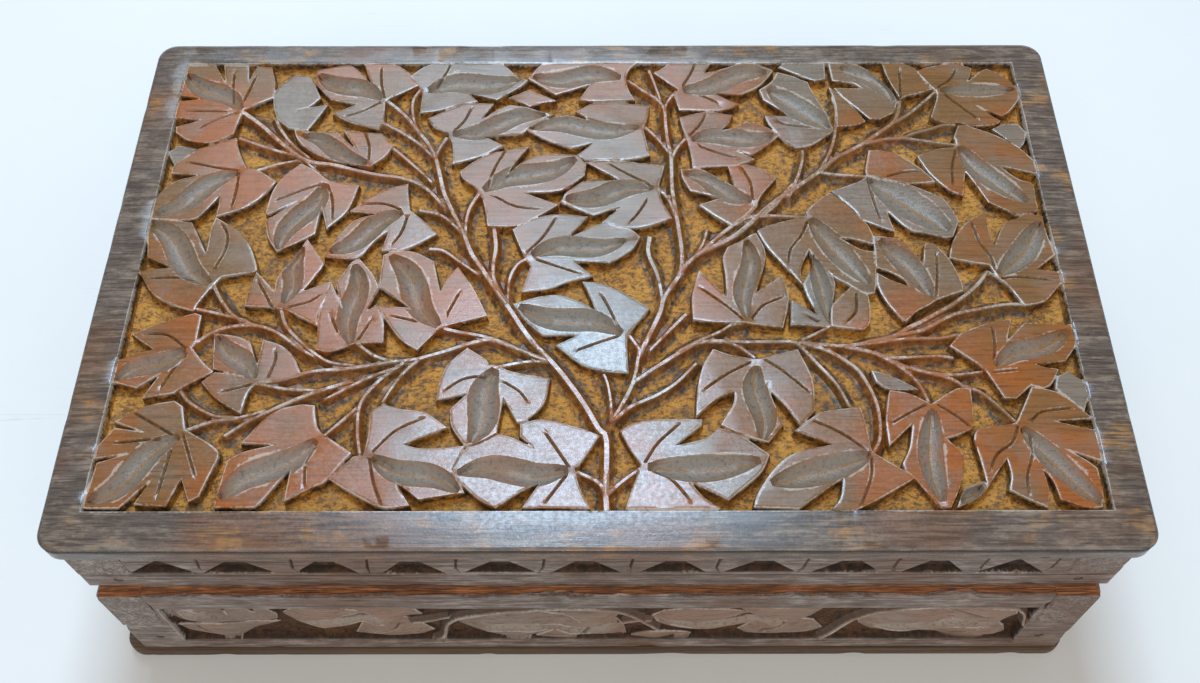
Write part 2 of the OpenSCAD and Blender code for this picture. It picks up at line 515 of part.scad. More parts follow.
// A hinge pin with a head at each end.
module hinge_pin(x) {
    translate([x - hinge_l / 2, axis_y, axis_z]) rotate([0, 90, 0]) {
        cylinder(d = pin_d, h = hinge_l);
        translate([0, 0, -pin_head_t]) cylinder(d = pin_head_d, h = pin_head_t);
        translate([0, 0, hinge_l]) cylinder(d = pin_head_d, h = pin_head_t);
    }
}

// The lid board with the vine in its sunk field.
module lid_board() color(walnut_top) {
    x = lid_w / 2;
    difference() {
        translate([0, 0, rail_top]) rounded_slab(-x, lid_front_y, x, lid_back_y, lid_t, lid_corner_r);
        block([FIELD[0].x, FIELD[0].y, box_h - field_depth], [FIELD[1].x, FIELD[1].y, box_h + past]);
    }
    translate([0, 0, box_h]) vine(LEAVES, STEMS, DRAWN_FIELD, FIELD, field_depth);
}

// A front or back rail of the lid: full width in its lower finger, short above it.
module lid_cross_rail(y0, y1) {
    block([-rail_x, y0, rail_foot], [rail_x, y1, rail_foot + rail_finger_h]);
    block([-inner_x, y0, rail_foot + rail_finger_h], [inner_x, y1, rail_top]);
}

module lid_front_rail() color(walnut_face) {
    difference() {
        lid_cross_rail(rail_front_y, inner_front_y);
        translate([0, rail_front_y, 0]) chip_row(2 * rail_x);
        corner_nails(rail_front_y, rail_nail_z, fastener_clearance);
    }
}

module lid_back_rail() color(walnut_face) {
    difference() {
        lid_cross_rail(inner_back_y, back_y);
        to_lid() hinge_cuts(wall_top);
        corner_nails(rail_front_y, rail_nail_z, fastener_clearance);
    }
}

// A side rail of the lid: between the cross rails below, out to both faces in its upper finger.
module lid_side_rail(side) {
    difference() {
        union() {
            block([min(side * inner_x, side * rail_x), inner_front_y, rail_foot],
                  [max(side * inner_x, side * rail_x), inner_back_y, rail_top]);
            block([min(side * inner_x, side * rail_x), rail_front_y, rail_foot + rail_finger_h],
                  [max(side * inner_x, side * rail_x), back_y, rail_top]);
        }
        on_side(side, rail_x, (rail_front_y + back_y) / 2) chip_row(back_y - rail_front_y);
        corner_nails(rail_front_y, rail_nail_z, fastener_clearance);
    }
}

module lid_left_rail() color(walnut_face) lid_side_rail(-1);

module lid_right_rail() color(walnut_face) lid_side_rail(1);

module lid_corner_nails() color(steel) corner_nails(rail_front_y, rail_nail_z, 0);

// A front or back wall of the base: full width in its lower finger, short above it.
module base_cross_wall(y0, y1) {
    block([-base_x, y0, bottom_t], [base_x, y1, bottom_t + wall_finger_h]);
    block([-inner_x, y0, bottom_t + wall_finger_h], [inner_x, y1, wall_top]);
}

module base_front_wall() color(walnut_face) {
    difference() {
        base_cross_wall(base_front_y, inner_front_y);
        translate([0, base_front_y, 0]) panel_cut(2 * base_x);
        corner_nails(base_front_y, wall_nail_z, fastener_clearance);
        bottom_nails(fastener_clearance);
    }
    translate([0, base_front_y, 0]) panel_vine(2 * base_x, PANEL_LEAVES, PANEL_STEMS, DRAWN_PANEL);
}

module base_back_wall() color(walnut_face) {
    difference() {
        base_cross_wall(inner_back_y, back_y);
        hinge_cuts(wall_top);
        corner_nails(base_front_y, wall_nail_z, fastener_clearance);
        bottom_nails(fastener_clearance);
    }
}

// A side wall of the base: between the cross walls below, out to both faces in its upper finger.
module base_side_wall(side) {
    difference() {
        union() {
            block([min(side * inner_x, side * base_x), inner_front_y, bottom_t],
                  [max(side * inner_x, side * base_x), inner_back_y, wall_top]);
            block([min(side * inner_x, side * base_x), base_front_y, bottom_t + wall_finger_h],
                  [max(side * inner_x, side * base_x), back_y, wall_top]);
        }
        on_side(side, base_x, (base_front_y + back_y) / 2) panel_cut(back_y - base_front_y);
        corner_nails(base_front_y, wall_nail_z, fastener_clearance);
        bottom_nails(fastener_clearance);
    }
    on_side(side, base_x, (base_front_y + back_y) / 2)
        panel_vine(back_y - base_front_y, SIDE_PANEL_LEAVES, SIDE_PANEL_STEMS, DRAWN_SIDE_PANEL);
}

module base_left_wall() color(walnut_face) base_side_wall(-1);

module base_right_wall() color(walnut_face) base_side_wall(1);

module base_corner_nails() color(steel) corner_nails(base_front_y, wall_nail_z, 0);

module bottom_board() color(walnut_bottom) {
    difference() {
        rounded_slab(-base_x - bottom_left, base_front_y - bottom_front,
                     base_x + bottom_right, back_y + bottom_back, bottom_t, bottom_corner_r);
        bottom_nails(fastener_clearance);
    }
}

module bottom_board_nails() color(steel) bottom_nails(0);

module left_hinge_base_leaf() color(brass) hinge_leaf(-hinge_x, [0, 2]);

module left_hinge_lid_leaf() color(brass) to_lid() hinge_leaf(-hinge_x, [1]);

module left_hinge_pin() color(brass) hinge_pin(-hinge_x);

module right_hinge_base_leaf() color(brass) hinge_leaf(hinge_x, [0, 2]);

module right_hinge_lid_leaf() color(brass) to_lid() hinge_leaf(hinge_x, [1]);

module right_hinge_pin() color(brass) hinge_pin(hinge_x);

// The four screws of the base's two leaves.
module hinge_base_screws() color(brass) {
    for (side = [-1, 1]) at_screws(side * hinge_x) translate([0, 0, wall_top]) screw(0);
}

// The four screws of the lid's two leaves.
module hinge_lid_screws() color(brass) to_lid() hinge_base_screws();

lid_board();
lid_front_rail();
lid_back_rail();
lid_left_rail();
lid_right_rail();
lid_corner_nails();
base_front_wall();
base_back_wall();
base_left_wall();
base_right_wall();
bottom_board();
base_corner_nails();
bottom_board_nails();
left_hinge_base_leaf();
left_hinge_lid_leaf();
left_hinge_pin();
right_hinge_base_leaf();
right_hinge_lid_leaf();
right_hinge_pin();
hinge_base_screws();
hinge_lid_screws();
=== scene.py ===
"""Carved keepsake box: worn, waxed walnut with a vine in relief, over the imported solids.

The solids keep their places and sizes. The wooden pieces are rebuilt here with their carving,
their worn arrises and their tool marks, and every piece gets its finish.
Lengths in the dataclasses are millimetres; meshes are written in metres.
"""

from __future__ import annotations

import json
import logging
import math
from dataclasses import dataclass, field, replace
from enum import Enum

import bpy
import numpy as np
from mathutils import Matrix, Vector
from mathutils.geometry import delaunay_2d_cdt

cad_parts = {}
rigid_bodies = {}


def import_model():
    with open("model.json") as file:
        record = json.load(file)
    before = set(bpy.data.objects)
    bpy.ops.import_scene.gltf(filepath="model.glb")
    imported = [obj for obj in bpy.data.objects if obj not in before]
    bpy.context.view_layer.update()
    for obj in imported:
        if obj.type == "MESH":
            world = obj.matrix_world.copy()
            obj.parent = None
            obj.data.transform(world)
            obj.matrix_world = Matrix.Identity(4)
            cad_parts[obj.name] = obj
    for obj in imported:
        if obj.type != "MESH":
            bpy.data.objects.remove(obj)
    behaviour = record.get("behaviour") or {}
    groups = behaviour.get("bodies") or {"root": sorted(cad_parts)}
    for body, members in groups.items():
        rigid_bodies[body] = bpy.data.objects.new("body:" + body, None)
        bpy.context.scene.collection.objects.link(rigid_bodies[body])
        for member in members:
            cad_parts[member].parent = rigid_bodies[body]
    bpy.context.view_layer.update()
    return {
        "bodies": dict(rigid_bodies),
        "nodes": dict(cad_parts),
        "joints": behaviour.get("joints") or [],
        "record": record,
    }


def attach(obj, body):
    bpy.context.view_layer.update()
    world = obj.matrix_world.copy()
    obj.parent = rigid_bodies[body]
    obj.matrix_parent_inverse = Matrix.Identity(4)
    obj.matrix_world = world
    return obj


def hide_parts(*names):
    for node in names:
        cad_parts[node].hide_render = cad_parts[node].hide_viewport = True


LOG = logging.getLogger("keepsake_box")
MM = 0.001
Point = tuple[float, float]
Line = tuple[Point, ...]
Point3 = tuple[float, float, float]


# ---------------------------------------------------------------- sizes


@dataclass(frozen=True)
class BoxSizes:
    """The box's main sizes, as the solids have them."""

    lid_x: float = 127.0
    lid_front_y: float = -76.8
    lid_back_y: float = 79.2
    top_z: float = 68.0
    lid_t: float = 6.0
    rail_x: float = 123.1
    rail_front_y: float = -75.8
    back_y: float = 74.8
    rail_foot: float = 42.8
    rail_finger: float = 51.0
    rail_top: float = 62.0
    base_x: float = 121.6
    base_front_y: float = -78.4
    inner_x: float = 110.6
    inner_front_y: float = -66.4
    inner_back_y: float = 63.8
    wall_top: float = 42.5
    wall_finger: float = 22.5
    bottom_t: float = 3.5
    drawn_y: float = 1.2
    hinge_x: float = 76.6
    hinge_half: float = 12.6
    leaf_inner_y: float = 67.9
    leaf_t: float = 0.9


class Side(Enum):
    """The face of the box that a carved board looks out of."""

    TOP = "top"
    FRONT = "front"
    BACK = "back"
    LEFT = "left"
    RIGHT = "right"
    BELOW = "below"


@dataclass(frozen=True)
class Face:
    """A flat face with its own right, up and outward directions."""

    origin: Vector
    right: Vector
    up: Vector
    out: Vector

    @staticmethod
    def of(side: Side, distance: float) -> "Face":
        """A face of the box.

        Args:
            side: which way it looks.
            distance: how far it lies from the middle, or above the floor for the top.

        Returns:
            The face, with its first coordinate to the right as seen from outside.
        """
        x, y, z = Vector((1, 0, 0)), Vector((0, 1, 0)), Vector((0, 0, 1))
        frames = {
            Side.TOP: (x, y, z),
            Side.FRONT: (x, z, -y),
            Side.BACK: (-x, z, y),
            Side.LEFT: (-y, z, -x),
            Side.RIGHT: (y, z, x),
            Side.BELOW: (x, -y, -z),
        }
        right, up, out = frames[side]
        return Face(out * distance, right, up, out)

    def place(self, flat: np.ndarray, height: np.ndarray) -> np.ndarray:
        """Points of the face, raised by height, in metres.

        Args:
            flat: an array of points on the face, in millimetres.
            height: how far each stands out of the face, in millimetres.

        Returns:
            The points in the row frame.
        """
        axes = np.array([self.right, self.up, self.out])
        return (np.array(self.origin) + np.column_stack([flat, height]) @ axes) * MM


# ---------------------------------------------------------------- drawing


class Noise:
    """Smooth value noise on a lattice, the same in every run."""

    def __init__(self, seed: int) -> None:
        """Fills the lattice from the seed."""
        self.table = np.random.default_rng(seed).random((256, 256)) * 2 - 1

    def at(self, x: np.ndarray, y: np.ndarray, size: float, size_y: float = 0.0) -> np.ndarray:
        """Noise from -1 to 1 whose lumps are size wide and size_y high."""
        u, v = x / size + 31.7, y / (size_y or size) + 57.3
        i, j = np.floor(u).astype(int), np.floor(v).astype(int)
        s, t = u - i, v - j
        s, t = s * s * (3 - 2 * s), t * t * (3 - 2 * t)
        i, j = i & 255, j & 255
        k, m = (i + 1) & 255, (j + 1) & 255
        low = self.table[i, j] * (1 - s) + self.table[k, j] * s
        high = self.table[i, m] * (1 - s) + self.table[k, m] * s
        return low * (1 - t) + high * t


def smooth(low: float, high: float, value: np.ndarray) -> np.ndarray:
    """A smooth step from 0 at low to 1 at high."""
    t = np.clip((value - low) / (high - low), 0.0, 1.0)
    return t * t * (3 - 2 * t)


def spline(points: Line, step: float, closed: bool, corner: float = 0.82) -> np.ndarray:
    """A curve through drawn points that keeps their sharp corners.

    Args:
        points: the points, in order.
        step: the distance between the curve's own points.
        closed: whether the last point joins the first.
        corner: the cosine of the turn beyond which a point stays sharp.

    Returns:
        An array of points along the curve.
    """
    p = np.array(points, dtype=float)
    count = len(p)
    legs = count if closed else count - 1

    def tangent(i: int) -> np.ndarray:
        """The direction of the curve at point i, or zero at a sharp corner or an end."""
        if not closed and i in (0, count - 1):
            return np.zeros(2)
        before, after = p[i] - p[(i - 1) % count], p[(i + 1) % count] - p[i]
        turn = before @ after / (np.linalg.norm(before) * np.linalg.norm(after) + 1e-9)
        return np.zeros(2) if turn < corner else (before + after) / 2

    curve = []
    for i in range(legs):
        a, b = p[i % count], p[(i + 1) % count]
        ta, tb = tangent(i % count), tangent((i + 1) % count)
        straight = b - a
        ta = straight if not ta.any() else ta
        tb = straight if not tb.any() else tb
        parts = max(1, round(np.linalg.norm(straight) / step))
        for t in np.arange(parts) / parts:
            curve.append(
                (2 * t**3 - 3 * t**2 + 1) * a
                + (t**3 - 2 * t**2 + t) * ta
                + (3 * t**2 - 2 * t**3) * b
                + (t**3 - t**2) * tb
            )
    if not closed:
        curve.append(p[-1])
    return np.array(curve)


def beside(curve: np.ndarray, distance: float | np.ndarray, closed: bool) -> np.ndarray:
    """The curve moved to its left by distance, or to its right if that is negative."""
    if closed:
        along = np.roll(curve, -1, 0) - np.roll(curve, 1, 0)
    else:
        along = np.gradient(curve, axis=0)
    along /= np.linalg.norm(along, axis=1, keepdims=True) + 1e-9
    return curve + np.reshape(distance, (-1, 1)) * np.column_stack([-along[:, 1], along[:, 0]])


def places(curve: np.ndarray) -> np.ndarray:
    """How far along an open curve each of its points is, from 0 to 1."""
    far = np.concatenate([[0.0], np.cumsum(np.hypot(*np.diff(curve, axis=0).T))])
    return far / far[-1]


def nearest(points: np.ndarray, line: np.ndarray, closed: bool) -> tuple[np.ndarray, np.ndarray]:
    """How far points lie from a line.

    Args:
        points: the points to measure.
        line: the line's points.
        closed: whether its last point joins the first.

    Returns:
        The distances, and how far along the line each nearest place is, from 0 to 1.
    """
    a = line if closed else line[:-1]
    b = np.roll(line, -1, 0) if closed else line[1:]
    step = b - a
    size = (step**2).sum(1) + 1e-12
    best = np.full(len(points), 1e9)
    place = np.zeros(len(points))
    total = np.sqrt(size)
    start = np.concatenate([[0.0], np.cumsum(total)[:-1]])
    for k in range(len(a)):
        t = np.clip(((points - a[k]) @ step[k]) / size[k], 0, 1)
        d = np.hypot(*(points - a[k] - t[:, None] * step[k]).T)
        closer = d < best
        best[closer] = d[closer]
        place[closer] = (start[k] + t[closer] * total[k]) / total.sum()
    return best, place


def within(points: np.ndarray, loop: np.ndarray) -> np.ndarray:
    """Which points lie inside a closed loop."""
    inside = np.zeros(len(points), dtype=bool)
    for (ax, ay), (bx, by) in zip(loop, np.roll(loop, -1, 0)):
        crosses = (ay > points[:, 1]) != (by > points[:, 1])
        if crosses.any():
            x = ax + (points[:, 1] - ay) * (bx - ax) / ((by - ay) or 1e-12)
            inside ^= crosses & (points[:, 0] < x)
    return inside


def inset(points: np.ndarray, loop: np.ndarray) -> np.ndarray:
    """How far points lie inside a closed loop; outside it the distance is negative."""
    distance, _ = nearest(points, loop, True)
    return np.where(within(points, loop), distance, -distance)


# ---------------------------------------------------------------- carved motifs

Curve = str  # a drawn curve: its points as x,y in millimetres, with spaces between them


def points_of(curve: Curve) -> Line:
    """The points of a drawn curve."""
    return tuple((float(x), float(y)) for x, y in (point.split(",") for point in curve.split()))


@dataclass(frozen=True)
class Leaf:
    """One leaf of the vine: its outline, the hollow down its main lobe and its cut veins."""

    outline: Curve
    hollow: Curve = ""
    half: float = 0.0
    veins: tuple[Curve, ...] = ()
    grey: float = 0.0


@dataclass(frozen=True)
class Stem:
    """One stem: a narrow crest along a line, with long slopes to the ground on both sides.

    The crest is about a third as wide as half says, and tapers to the line's far end.
    """

    line: Curve
    half: float = 1.5
    top: float = -0.7


VINE_LEAVES: tuple[Leaf, ...] = (
    Leaf("""-98,-47.3 -99.8,-40.8 -102,-39.3 -108.5,-40.8 -115.3,-45 -107.5,-47.9 -114.8,-46.7
         -117.6,-51.5 -117.6,-54.8 -110,-53.5 -117,-56 -117.9,-67.3 -109.8,-67.3 -103.3,-60
         -106.5,-66.3 -99,-66.9 -96.6,-60 -94,-65.8 -91.8,-64.5 -88.8,-54.8 -90,-52.2""",
         "-99,-49 -117,-66", 3.2, ("-101,-48.5 -111.5,-42.3", "-104,-49.6 -114,-50.8",
         "-100,-50 -101.5,-64.5", "-98,-49 -93.5,-59.5")),
    Leaf("""-100.6,-24.2 -99.6,-23.5 -99.6,-15 -101.3,-14.3 -107,-16.2 -111,-18 -116,-20.5
         -109.6,-25 -113,-25.8 -117.9,-28 -117.9,-34.3 -111.8,-35.9 -106.8,-31.9 -109.8,-38.6
         -102.3,-37.2 -101.3,-36 -94,-31.2 -97,-28.5""",
         "-101.8,-25 -117.5,-33.5", 2.8, ("-102,-24.5 -107,-20.8 -113,-20.3",
         "-101.5,-26.5 -103.5,-30 -106,-36")),
    Leaf("""-82.5,-34.3 -76,-33.4 -72.5,-32 -75,-27 -78.5,-23.7 -83.2,-22 -83.5,-29.8 -86.3,-22.8
         -89.5,-21.2 -95.6,-20.2 -94.2,-30.4 -88,-32.2 -93.5,-31.4 -96.4,-34.2 -92,-38.8
         -85.6,-42.8 -84.6,-37""",
         "-83.6,-33.4 -94.6,-21", 2.9, ("-80.3,-32.8 -79.3,-28 -79.7,-25",
         "-84.5,-35 -90.8,-36.8"), 0.3),
    Leaf("""-65.6,-48 -67.4,-44.5 -68.2,-40.5 -72.5,-40.4 -78.5,-43.2 -84.2,-50.8 -76,-51.2
         -83,-53.2 -86.6,-55.5 -87.9,-67.2 -79,-67.3 -77.3,-66 -71.6,-57.3 -72,-65.7 -66,-62.3
         -62.8,-60.5 -57.9,-53.6""",
         "-66.5,-50 -87,-65", 3.4, ("-67,-51.5 -68.3,-56 -67.8,-62.3",)),
    Leaf("""-55,-54 -54.4,-48 -54.6,-42.3 -51.6,-40.2 -48,-41.6 -41.5,-42.7 -36,-46.6 -46,-51.2
         -41,-52.3 -31.5,-51.6 -34,-57.5 -30.8,-63.7 -41.2,-65.4 -47.3,-60.5 -43.2,-66.9
         -49.4,-67.4 -56,-64.2 -62.3,-60.2 -57.5,-54.3""",
         "-53,-54.5 -32,-63.4", 3.0, ("-52.8,-53 -48,-47.5 -41.5,-44",
         "-53.5,-55 -52,-61 -49.5,-67"), 0.3),
    Leaf("""-5.6,-57.4 -4.6,-57 -2.4,-53.5 0.2,-49.2 -1,-48.3 -5,-46.8 -13,-44.5 -18.6,-45.6
         -18.5,-49 -14.9,-52.4 -20,-49.5 -24.3,-48.2 -31,-52 -34.3,-58.6 -28,-65 -23.4,-67.6
         -18,-63.6 -13.4,-61.1 -17.3,-67.5 -1.8,-67.7 -4.2,-62.5""",
         "-7,-57.8 -32.8,-58.6", 3.2, ("-7,-57 -9.8,-52.5 -12.8,-47.8",
         "-7.5,-59.5 -9.6,-62.5 -12.2,-66.3"), 0.5),
    Leaf("""-26.9,-29.6 -27.6,-28 -32.4,-24.5 -36.8,-29 -38.6,-34.5 -39,-39.3 -31.6,-37.4
         -35.6,-41.9 -34.8,-46.5 -31.4,-51.7 -28,-50.6 -24.1,-48.2 -22.9,-38.6 -19.3,-45.6
         -16.8,-44.6 -13,-40 -11.8,-33.2 -21,-31.3 -24.5,-29.8""",
         "-25.2,-30.5 -30,-51", 3.6, ("-27.8,-32.5 -33,-33.5 -37.5,-36.8",
         "-22.5,-34.5 -19,-37 -17,-40"), 0.4),
    Leaf("""-97.8,-5.3 -96.4,-3.2 -88,-1.6 -88,0 -91,7 -95,11.5 -100.8,15.4 -101.4,12 -101.6,3.8
         -106.3,12.6 -108,13.8 -117.9,15.2 -117.9,11 -116.5,2.8 -109.5,-0.4 -117.9,-1.6 -113,-8.5
         -107,-12 -102,-13.6 -100.4,-10""",
         "-99,-5.5 -117.8,14", 3.3, ("-104,-3.5 -110,-3.5 -116,-3.8",
         "-98.4,0 -96.8,5 -97,10 -99.5,14")),
    Leaf("""-95.5,32.4 -98.3,38 -100.2,43.5 -106,40.9 -110.5,38.6 -115,33.4 -115.4,30.4
         -107.5,29.9 -114,27.3 -117.6,22 -117.9,15 -108,14.7 -105,16.3 -101,22.8 -100.8,15.7
         -94,18.7 -89.6,22.8 -86.8,27.6 -91.5,31.2""",
         "-97.5,31 -117,16.5", 3.2, ("-98,31.8 -103,32.5 -112,34.5", "-97.3,31 -97,25 -97.3,19")),
    Leaf("""-73.2,28.3 -76.5,31 -80.7,33.6 -84.5,29.5 -87,24.5 -88,17 -87.4,16.4 -80.2,20.8
         -87.6,14.6 -86.5,9.5 -83.4,4.6 -79,7 -74.2,10.2 -73.7,19.8 -71.4,11.8 -66.5,18 -64.4,26.4
         -69,27.2""",
         "-73.4,27 -83.5,5.5", 3.1, ("-75,26.5 -80,24.2 -86,21", "-72.6,26 -71,21.5 -70.2,15")),
    Leaf("""-80,-13 -89.2,-12.2 -88.6,-6 -87.6,-1.9 -82.2,-8 -82,-3.5 -78.6,3.4 -75.9,8.4
         -71.3,1.6 -71.2,-0.6 -74.9,-7.4 -76,-8.3 -68.4,-4.9 -68.8,-9.5 -70.2,-14 -70.2,-18.2
         -74.5,-15.8""",
         "-79.6,-11.5 -76.8,6", 2.5, ("-82,-13 -84,-9.5 -87,-4.5",
         "-77.5,-12.5 -73,-11 -70.5,-9")),
    Leaf("""-60,-23.4 -65.8,-25.6 -69.6,-25 -70.1,-16 -69.6,-11 -68.2,-4.9 -64.6,-12.9 -66.9,-5.6
         -63.6,1 -61.8,2.3 -58,-2.5 -55.9,-6.6 -58.4,-14 -56,-11.8 -53.8,-17 -53.2,-23.3""",
         "-61.3,-23.5 -62.6,0.5", 2.9, ("-59.3,-22 -57,-17", "-64.8,-20 -67,-15.5"), 0.2),
    Leaf("""-50,17.8 -50.9,23 -51.2,26.6 -56,25.3 -62,21.8 -65.9,17.8 -58.4,16.7 -64,14.8 -68.5,9
         -70.9,2.9 -64,2.4 -61.3,3.6 -58.4,8 -55,11.3 -56.4,5 -51,5.3 -46.5,7.6 -42.4,10.4
         -46,14.3""",
         "-51.8,17.2 -69.8,4.5", 3.0, ("-52.5,18 -57,20 -63,20.2",
         "-50.6,15.5 -51.6,11 -53.6,7.2")),
    Leaf("""-39.6,-19.3 -44.7,-25.4 -49.5,-21.8 -55.9,-12.3 -47.4,-12.9 -56,-6.2 -55.8,3.6
         -53.5,5.2 -48,4.6 -42.6,1.6 -41.5,-3 -40.2,-8.2 -38.6,-3.5 -36.2,-0.4 -32,-7 -28,-15.4
         -37.4,-18.2""",
         "-39.8,-18.6 -53.8,3.6", 3.4, ("-45.5,-17 -52,-15.3", "-37.8,-14.6 -35.2,-8.2")),
    Leaf("""-99.4,52.4 -98.3,53.8 -91.8,57.8 -92,63 -93.8,69.6 -98.2,70 -99.6,63.8 -100.6,70.2
         -107.6,70.2 -106,63.2 -110,70.2 -117.9,70.2 -117.9,58.6 -111.6,57.2 -117.9,56.4 -117.9,50
         -110,49.4 -117,46.6 -116.6,44.6 -112,41.6 -106,41.2 -100.8,44.2""",
         "-100,53.2 -117.4,66.6", 3.2, ("-103.2,57 -104.2,67.5", "-99.6,57 -97.8,66",
         "-104,52.4 -115,52.6", "-102,51.6 -107,48.8 -110.6,46")),
    Leaf("""-89.8,50.6 -91.6,57 -90.8,62 -86.5,66.5 -82.2,65.8 -78.4,57.6 -81,54.6 -84.2,53.4
         -76,55 -78.6,49.5 -80.6,45.6 -86,46.5""",
         "", 0.0, (), 0.7),
    Leaf("""-60.2,56.4 -58.4,57.6 -50.8,62.4 -55,67.6 -60,70.4 -67.4,70.3 -64.6,62.6 -69.8,68.8
         -73,69.8 -80.8,68 -80.4,63 -75.6,57.2 -68,55.4 -74.4,52 -69,48.8 -61,45.9 -60,50""",
         "-61,57.2 -80,66.4", 3.0, ("-60.6,58 -61.8,63 -62.4,69", "-61.8,55.6 -66,53 -70.8,51"),
         0.3),
    Leaf("""-62,32.8 -58.4,36 -56.4,40 -60,44.4 -70.6,45.6 -66,38 -72.6,45.2 -80,45.4 -84.5,46.6
         -83,42.5 -79.5,38.6 -74,35.6""",
         "-63,34 -82,44", 2.6, ("-62.6,35 -63,40 -64.8,45",)),
    Leaf("-117.6,38.2 -115,40.2 -109.8,39 -115,33.2 -116.6,35.8", "", 0.0, (), 0.9),
    Leaf("""-50,60.4 -53.8,65.4 -49.5,69.4 -44,70.5 -30.5,70.8 -26.6,69.2 -23.4,65.6 -20.4,64
         -22.5,61.4 -28.8,56.6 -36.8,59.2 -34.2,56 -39,54.8 -45,52.7 -49.9,51.9""",
         "-48.4,60.4 -22.5,65", 3.6, ("-46,62.5 -44,66 -42.6,70",), 0.7),
    Leaf("""-41.6,44.6 -45.6,46.8 -47.8,50.2 -43,52.8 -37,55.2 -29.7,55.2 -32.7,49.6 -28.5,52.8
         -25,54.8 -20,53.6 -13,51.2 -18.5,47.4 -21,44.6 -31.9,43.6 -26.4,40.2 -32,36.6 -39.9,33.9
         -40.2,40""",
         "-40.5,44.2 -15,51.4", 3.0, ("-39.8,46 -37.5,49 -35.6,54",), 0.6),
    Leaf("""-32.4,24.6 -36.6,28.6 -37.6,31 -33.5,35 -28,38 -19.4,39.8 -22.4,35 -25,30.2 -20,35
         -15,37 -6,36.8 -3.6,33.5 -4,29.4 -10.2,24.4 -20,23.7 -14.5,21 -11,19.4 -16,15.8
         -21.6,12.6 -29.2,12.6 -30.6,20""",
         "-31,24.6 -6.4,35.6", 3.4, ("-29.8,27 -28,33 -25.6,38.6", "-27.4,22.2 -22,19 -15.4,18"),
         0.4),
    Leaf("-25.8,57.6 -20,60.4 -12.2,56.4 -16,55.6 -19.6,54.2 -22.5,56", "", 0.0, (), 0.4),
    Leaf("""9.6,-58 9.9,-56.5 7,-51.6 5.1,-47.6 8,-45.8 13,-44.6 24.8,-44.4 24.6,-46 18.2,-51.5
         24.5,-50 28.8,-46.8 34,-49 40.2,-54 37.6,-59 30,-65.7 21.2,-61 24.5,-65.2 28,-67.8
         6.3,-67.8 7.6,-63.5""",
         "11.5,-57.2 25,-57.6 38,-55.5", 3.3, ("11,-56 14,-51 19.4,-45.6",
         "13.5,-58 17.5,-61 21.2,-65.8"), 0.4),
    Leaf("""39.3,-28 33,-27 28.2,-25.2 25.6,-30 24,-36.5 23.4,-43.8 27.5,-40 32.8,-37 32.4,-40.5
         29.2,-46.3 35.8,-49.6 40.2,-50.6 44,-46 42.4,-41 41.2,-36.6 44.8,-41 48,-46.4 51.8,-42.4
         51.9,-34 49,-25.4 41.5,-27.6""",
         "38.6,-30 38.8,-50", 3.0, ("37,-29 31,-32.5 25.2,-37", "41,-28.5 45,-31.6 51,-37.5")),
    Leaf("""64.2,-53.4 63.6,-46 62.8,-41.8 60.5,-41.8 54,-42.7 51,-44.3 46.5,-47.7 55.1,-51.4
         46,-53.8 41,-57.8 36.8,-64 35.7,-67.4 46,-67.7 56.9,-60 55.8,-65 53.7,-67.8 59.6,-67.7
         72.8,-60.5 73.3,-59.5""",
         "64,-54 55,-57.3 40,-61.4", 3.3, ("51.5,-45.3 56,-47.5 59.6,-50 63,-53",
         "64,-55 63.3,-60 60.1,-67.3"), 0.3),
    Leaf("""79.8,-40.8 75,-38 70.3,-37 69.6,-39.5 68.5,-45.5 68.5,-51.8 74.8,-45.8 74.2,-48.6
         73.3,-52.3 71.2,-56.4 71.5,-58.2 73.3,-60 78.7,-67.5 81,-67.3 84.2,-61 85.8,-54.3
         84.2,-52.3 82.2,-49.8 85,-49 88.7,-47.3 89.6,-42.7 89.9,-36.6 86.5,-36.6""",
         "80,-42 78,-55 79.2,-66", 2.9, ("70.1,-45.7 74.2,-43.2 79.4,-40.5",
         "81.5,-41 85.5,-44 88.4,-47")),
    Leaf("""99.5,-45.9 91.3,-47 89.9,-47.5 88.8,-50 89.5,-55.9 90.1,-62.3 92.2,-59.5 95.7,-55
         96,-59.5 95,-63.2 99,-65.5 103.1,-67.5 104,-63 103.5,-57.3 105.4,-60.9 106.3,-65.5
         111.7,-67.5 115.4,-67.5 116.3,-64.1 116.3,-57.7 114,-55.5 109.9,-52.7 117.9,-55.9
         117.9,-47.7 108.5,-45.2 117.9,-44.5 113.1,-39.1 109.5,-36.8 104.9,-35.9 103.8,-38""",
         "100.5,-47 108.5,-58 115.6,-66.8", 3.0, ("99.6,-46.8 97.6,-50.9 93.5,-54.1 91.3,-58.2",
         "102.6,-49.1 102,-53.6 99.7,-59.5 99.2,-64.5", "103.5,-44.8 106.3,-42.7 114,-41.6")),
    Leaf("""110.5,-36.4 111.6,-33 114.6,-31.6 117.5,-34 117.9,-38 116.5,-42.3 113,-39""",
         "", 0.0, (), 1.0),
    Leaf("""94.5,-31.1 86.7,-24.3 90.4,-20.5 94.9,-18.5 99.2,-17 103.1,-16.5 101,-23.1 106.3,-17.6
         117.9,-18.1 117.9,-23.6 114.5,-28.6 106.3,-29.5 112.4,-30.9 109.9,-35 107.6,-36.2
         104.9,-35.3 100.8,-38.9 97.9,-38.9 94.9,-32.3""",
         "97,-30.2 102.6,-26.1 109.5,-24.5 117,-20", 2.8, ("98.1,-20 97.8,-24 96.9,-28.5",
         "97,-31.7 102.2,-31.1")),
    Leaf("66.6,-31.2 70,-32.3 75,-35 77.4,-36.6 70.5,-36.4 67.4,-34.4", "", 0.0, (), 0.8),
    Leaf("""82.2,-67.6 84.6,-62.7 86.5,-62 89.4,-60.9 90,-62.6 87,-65.2""",
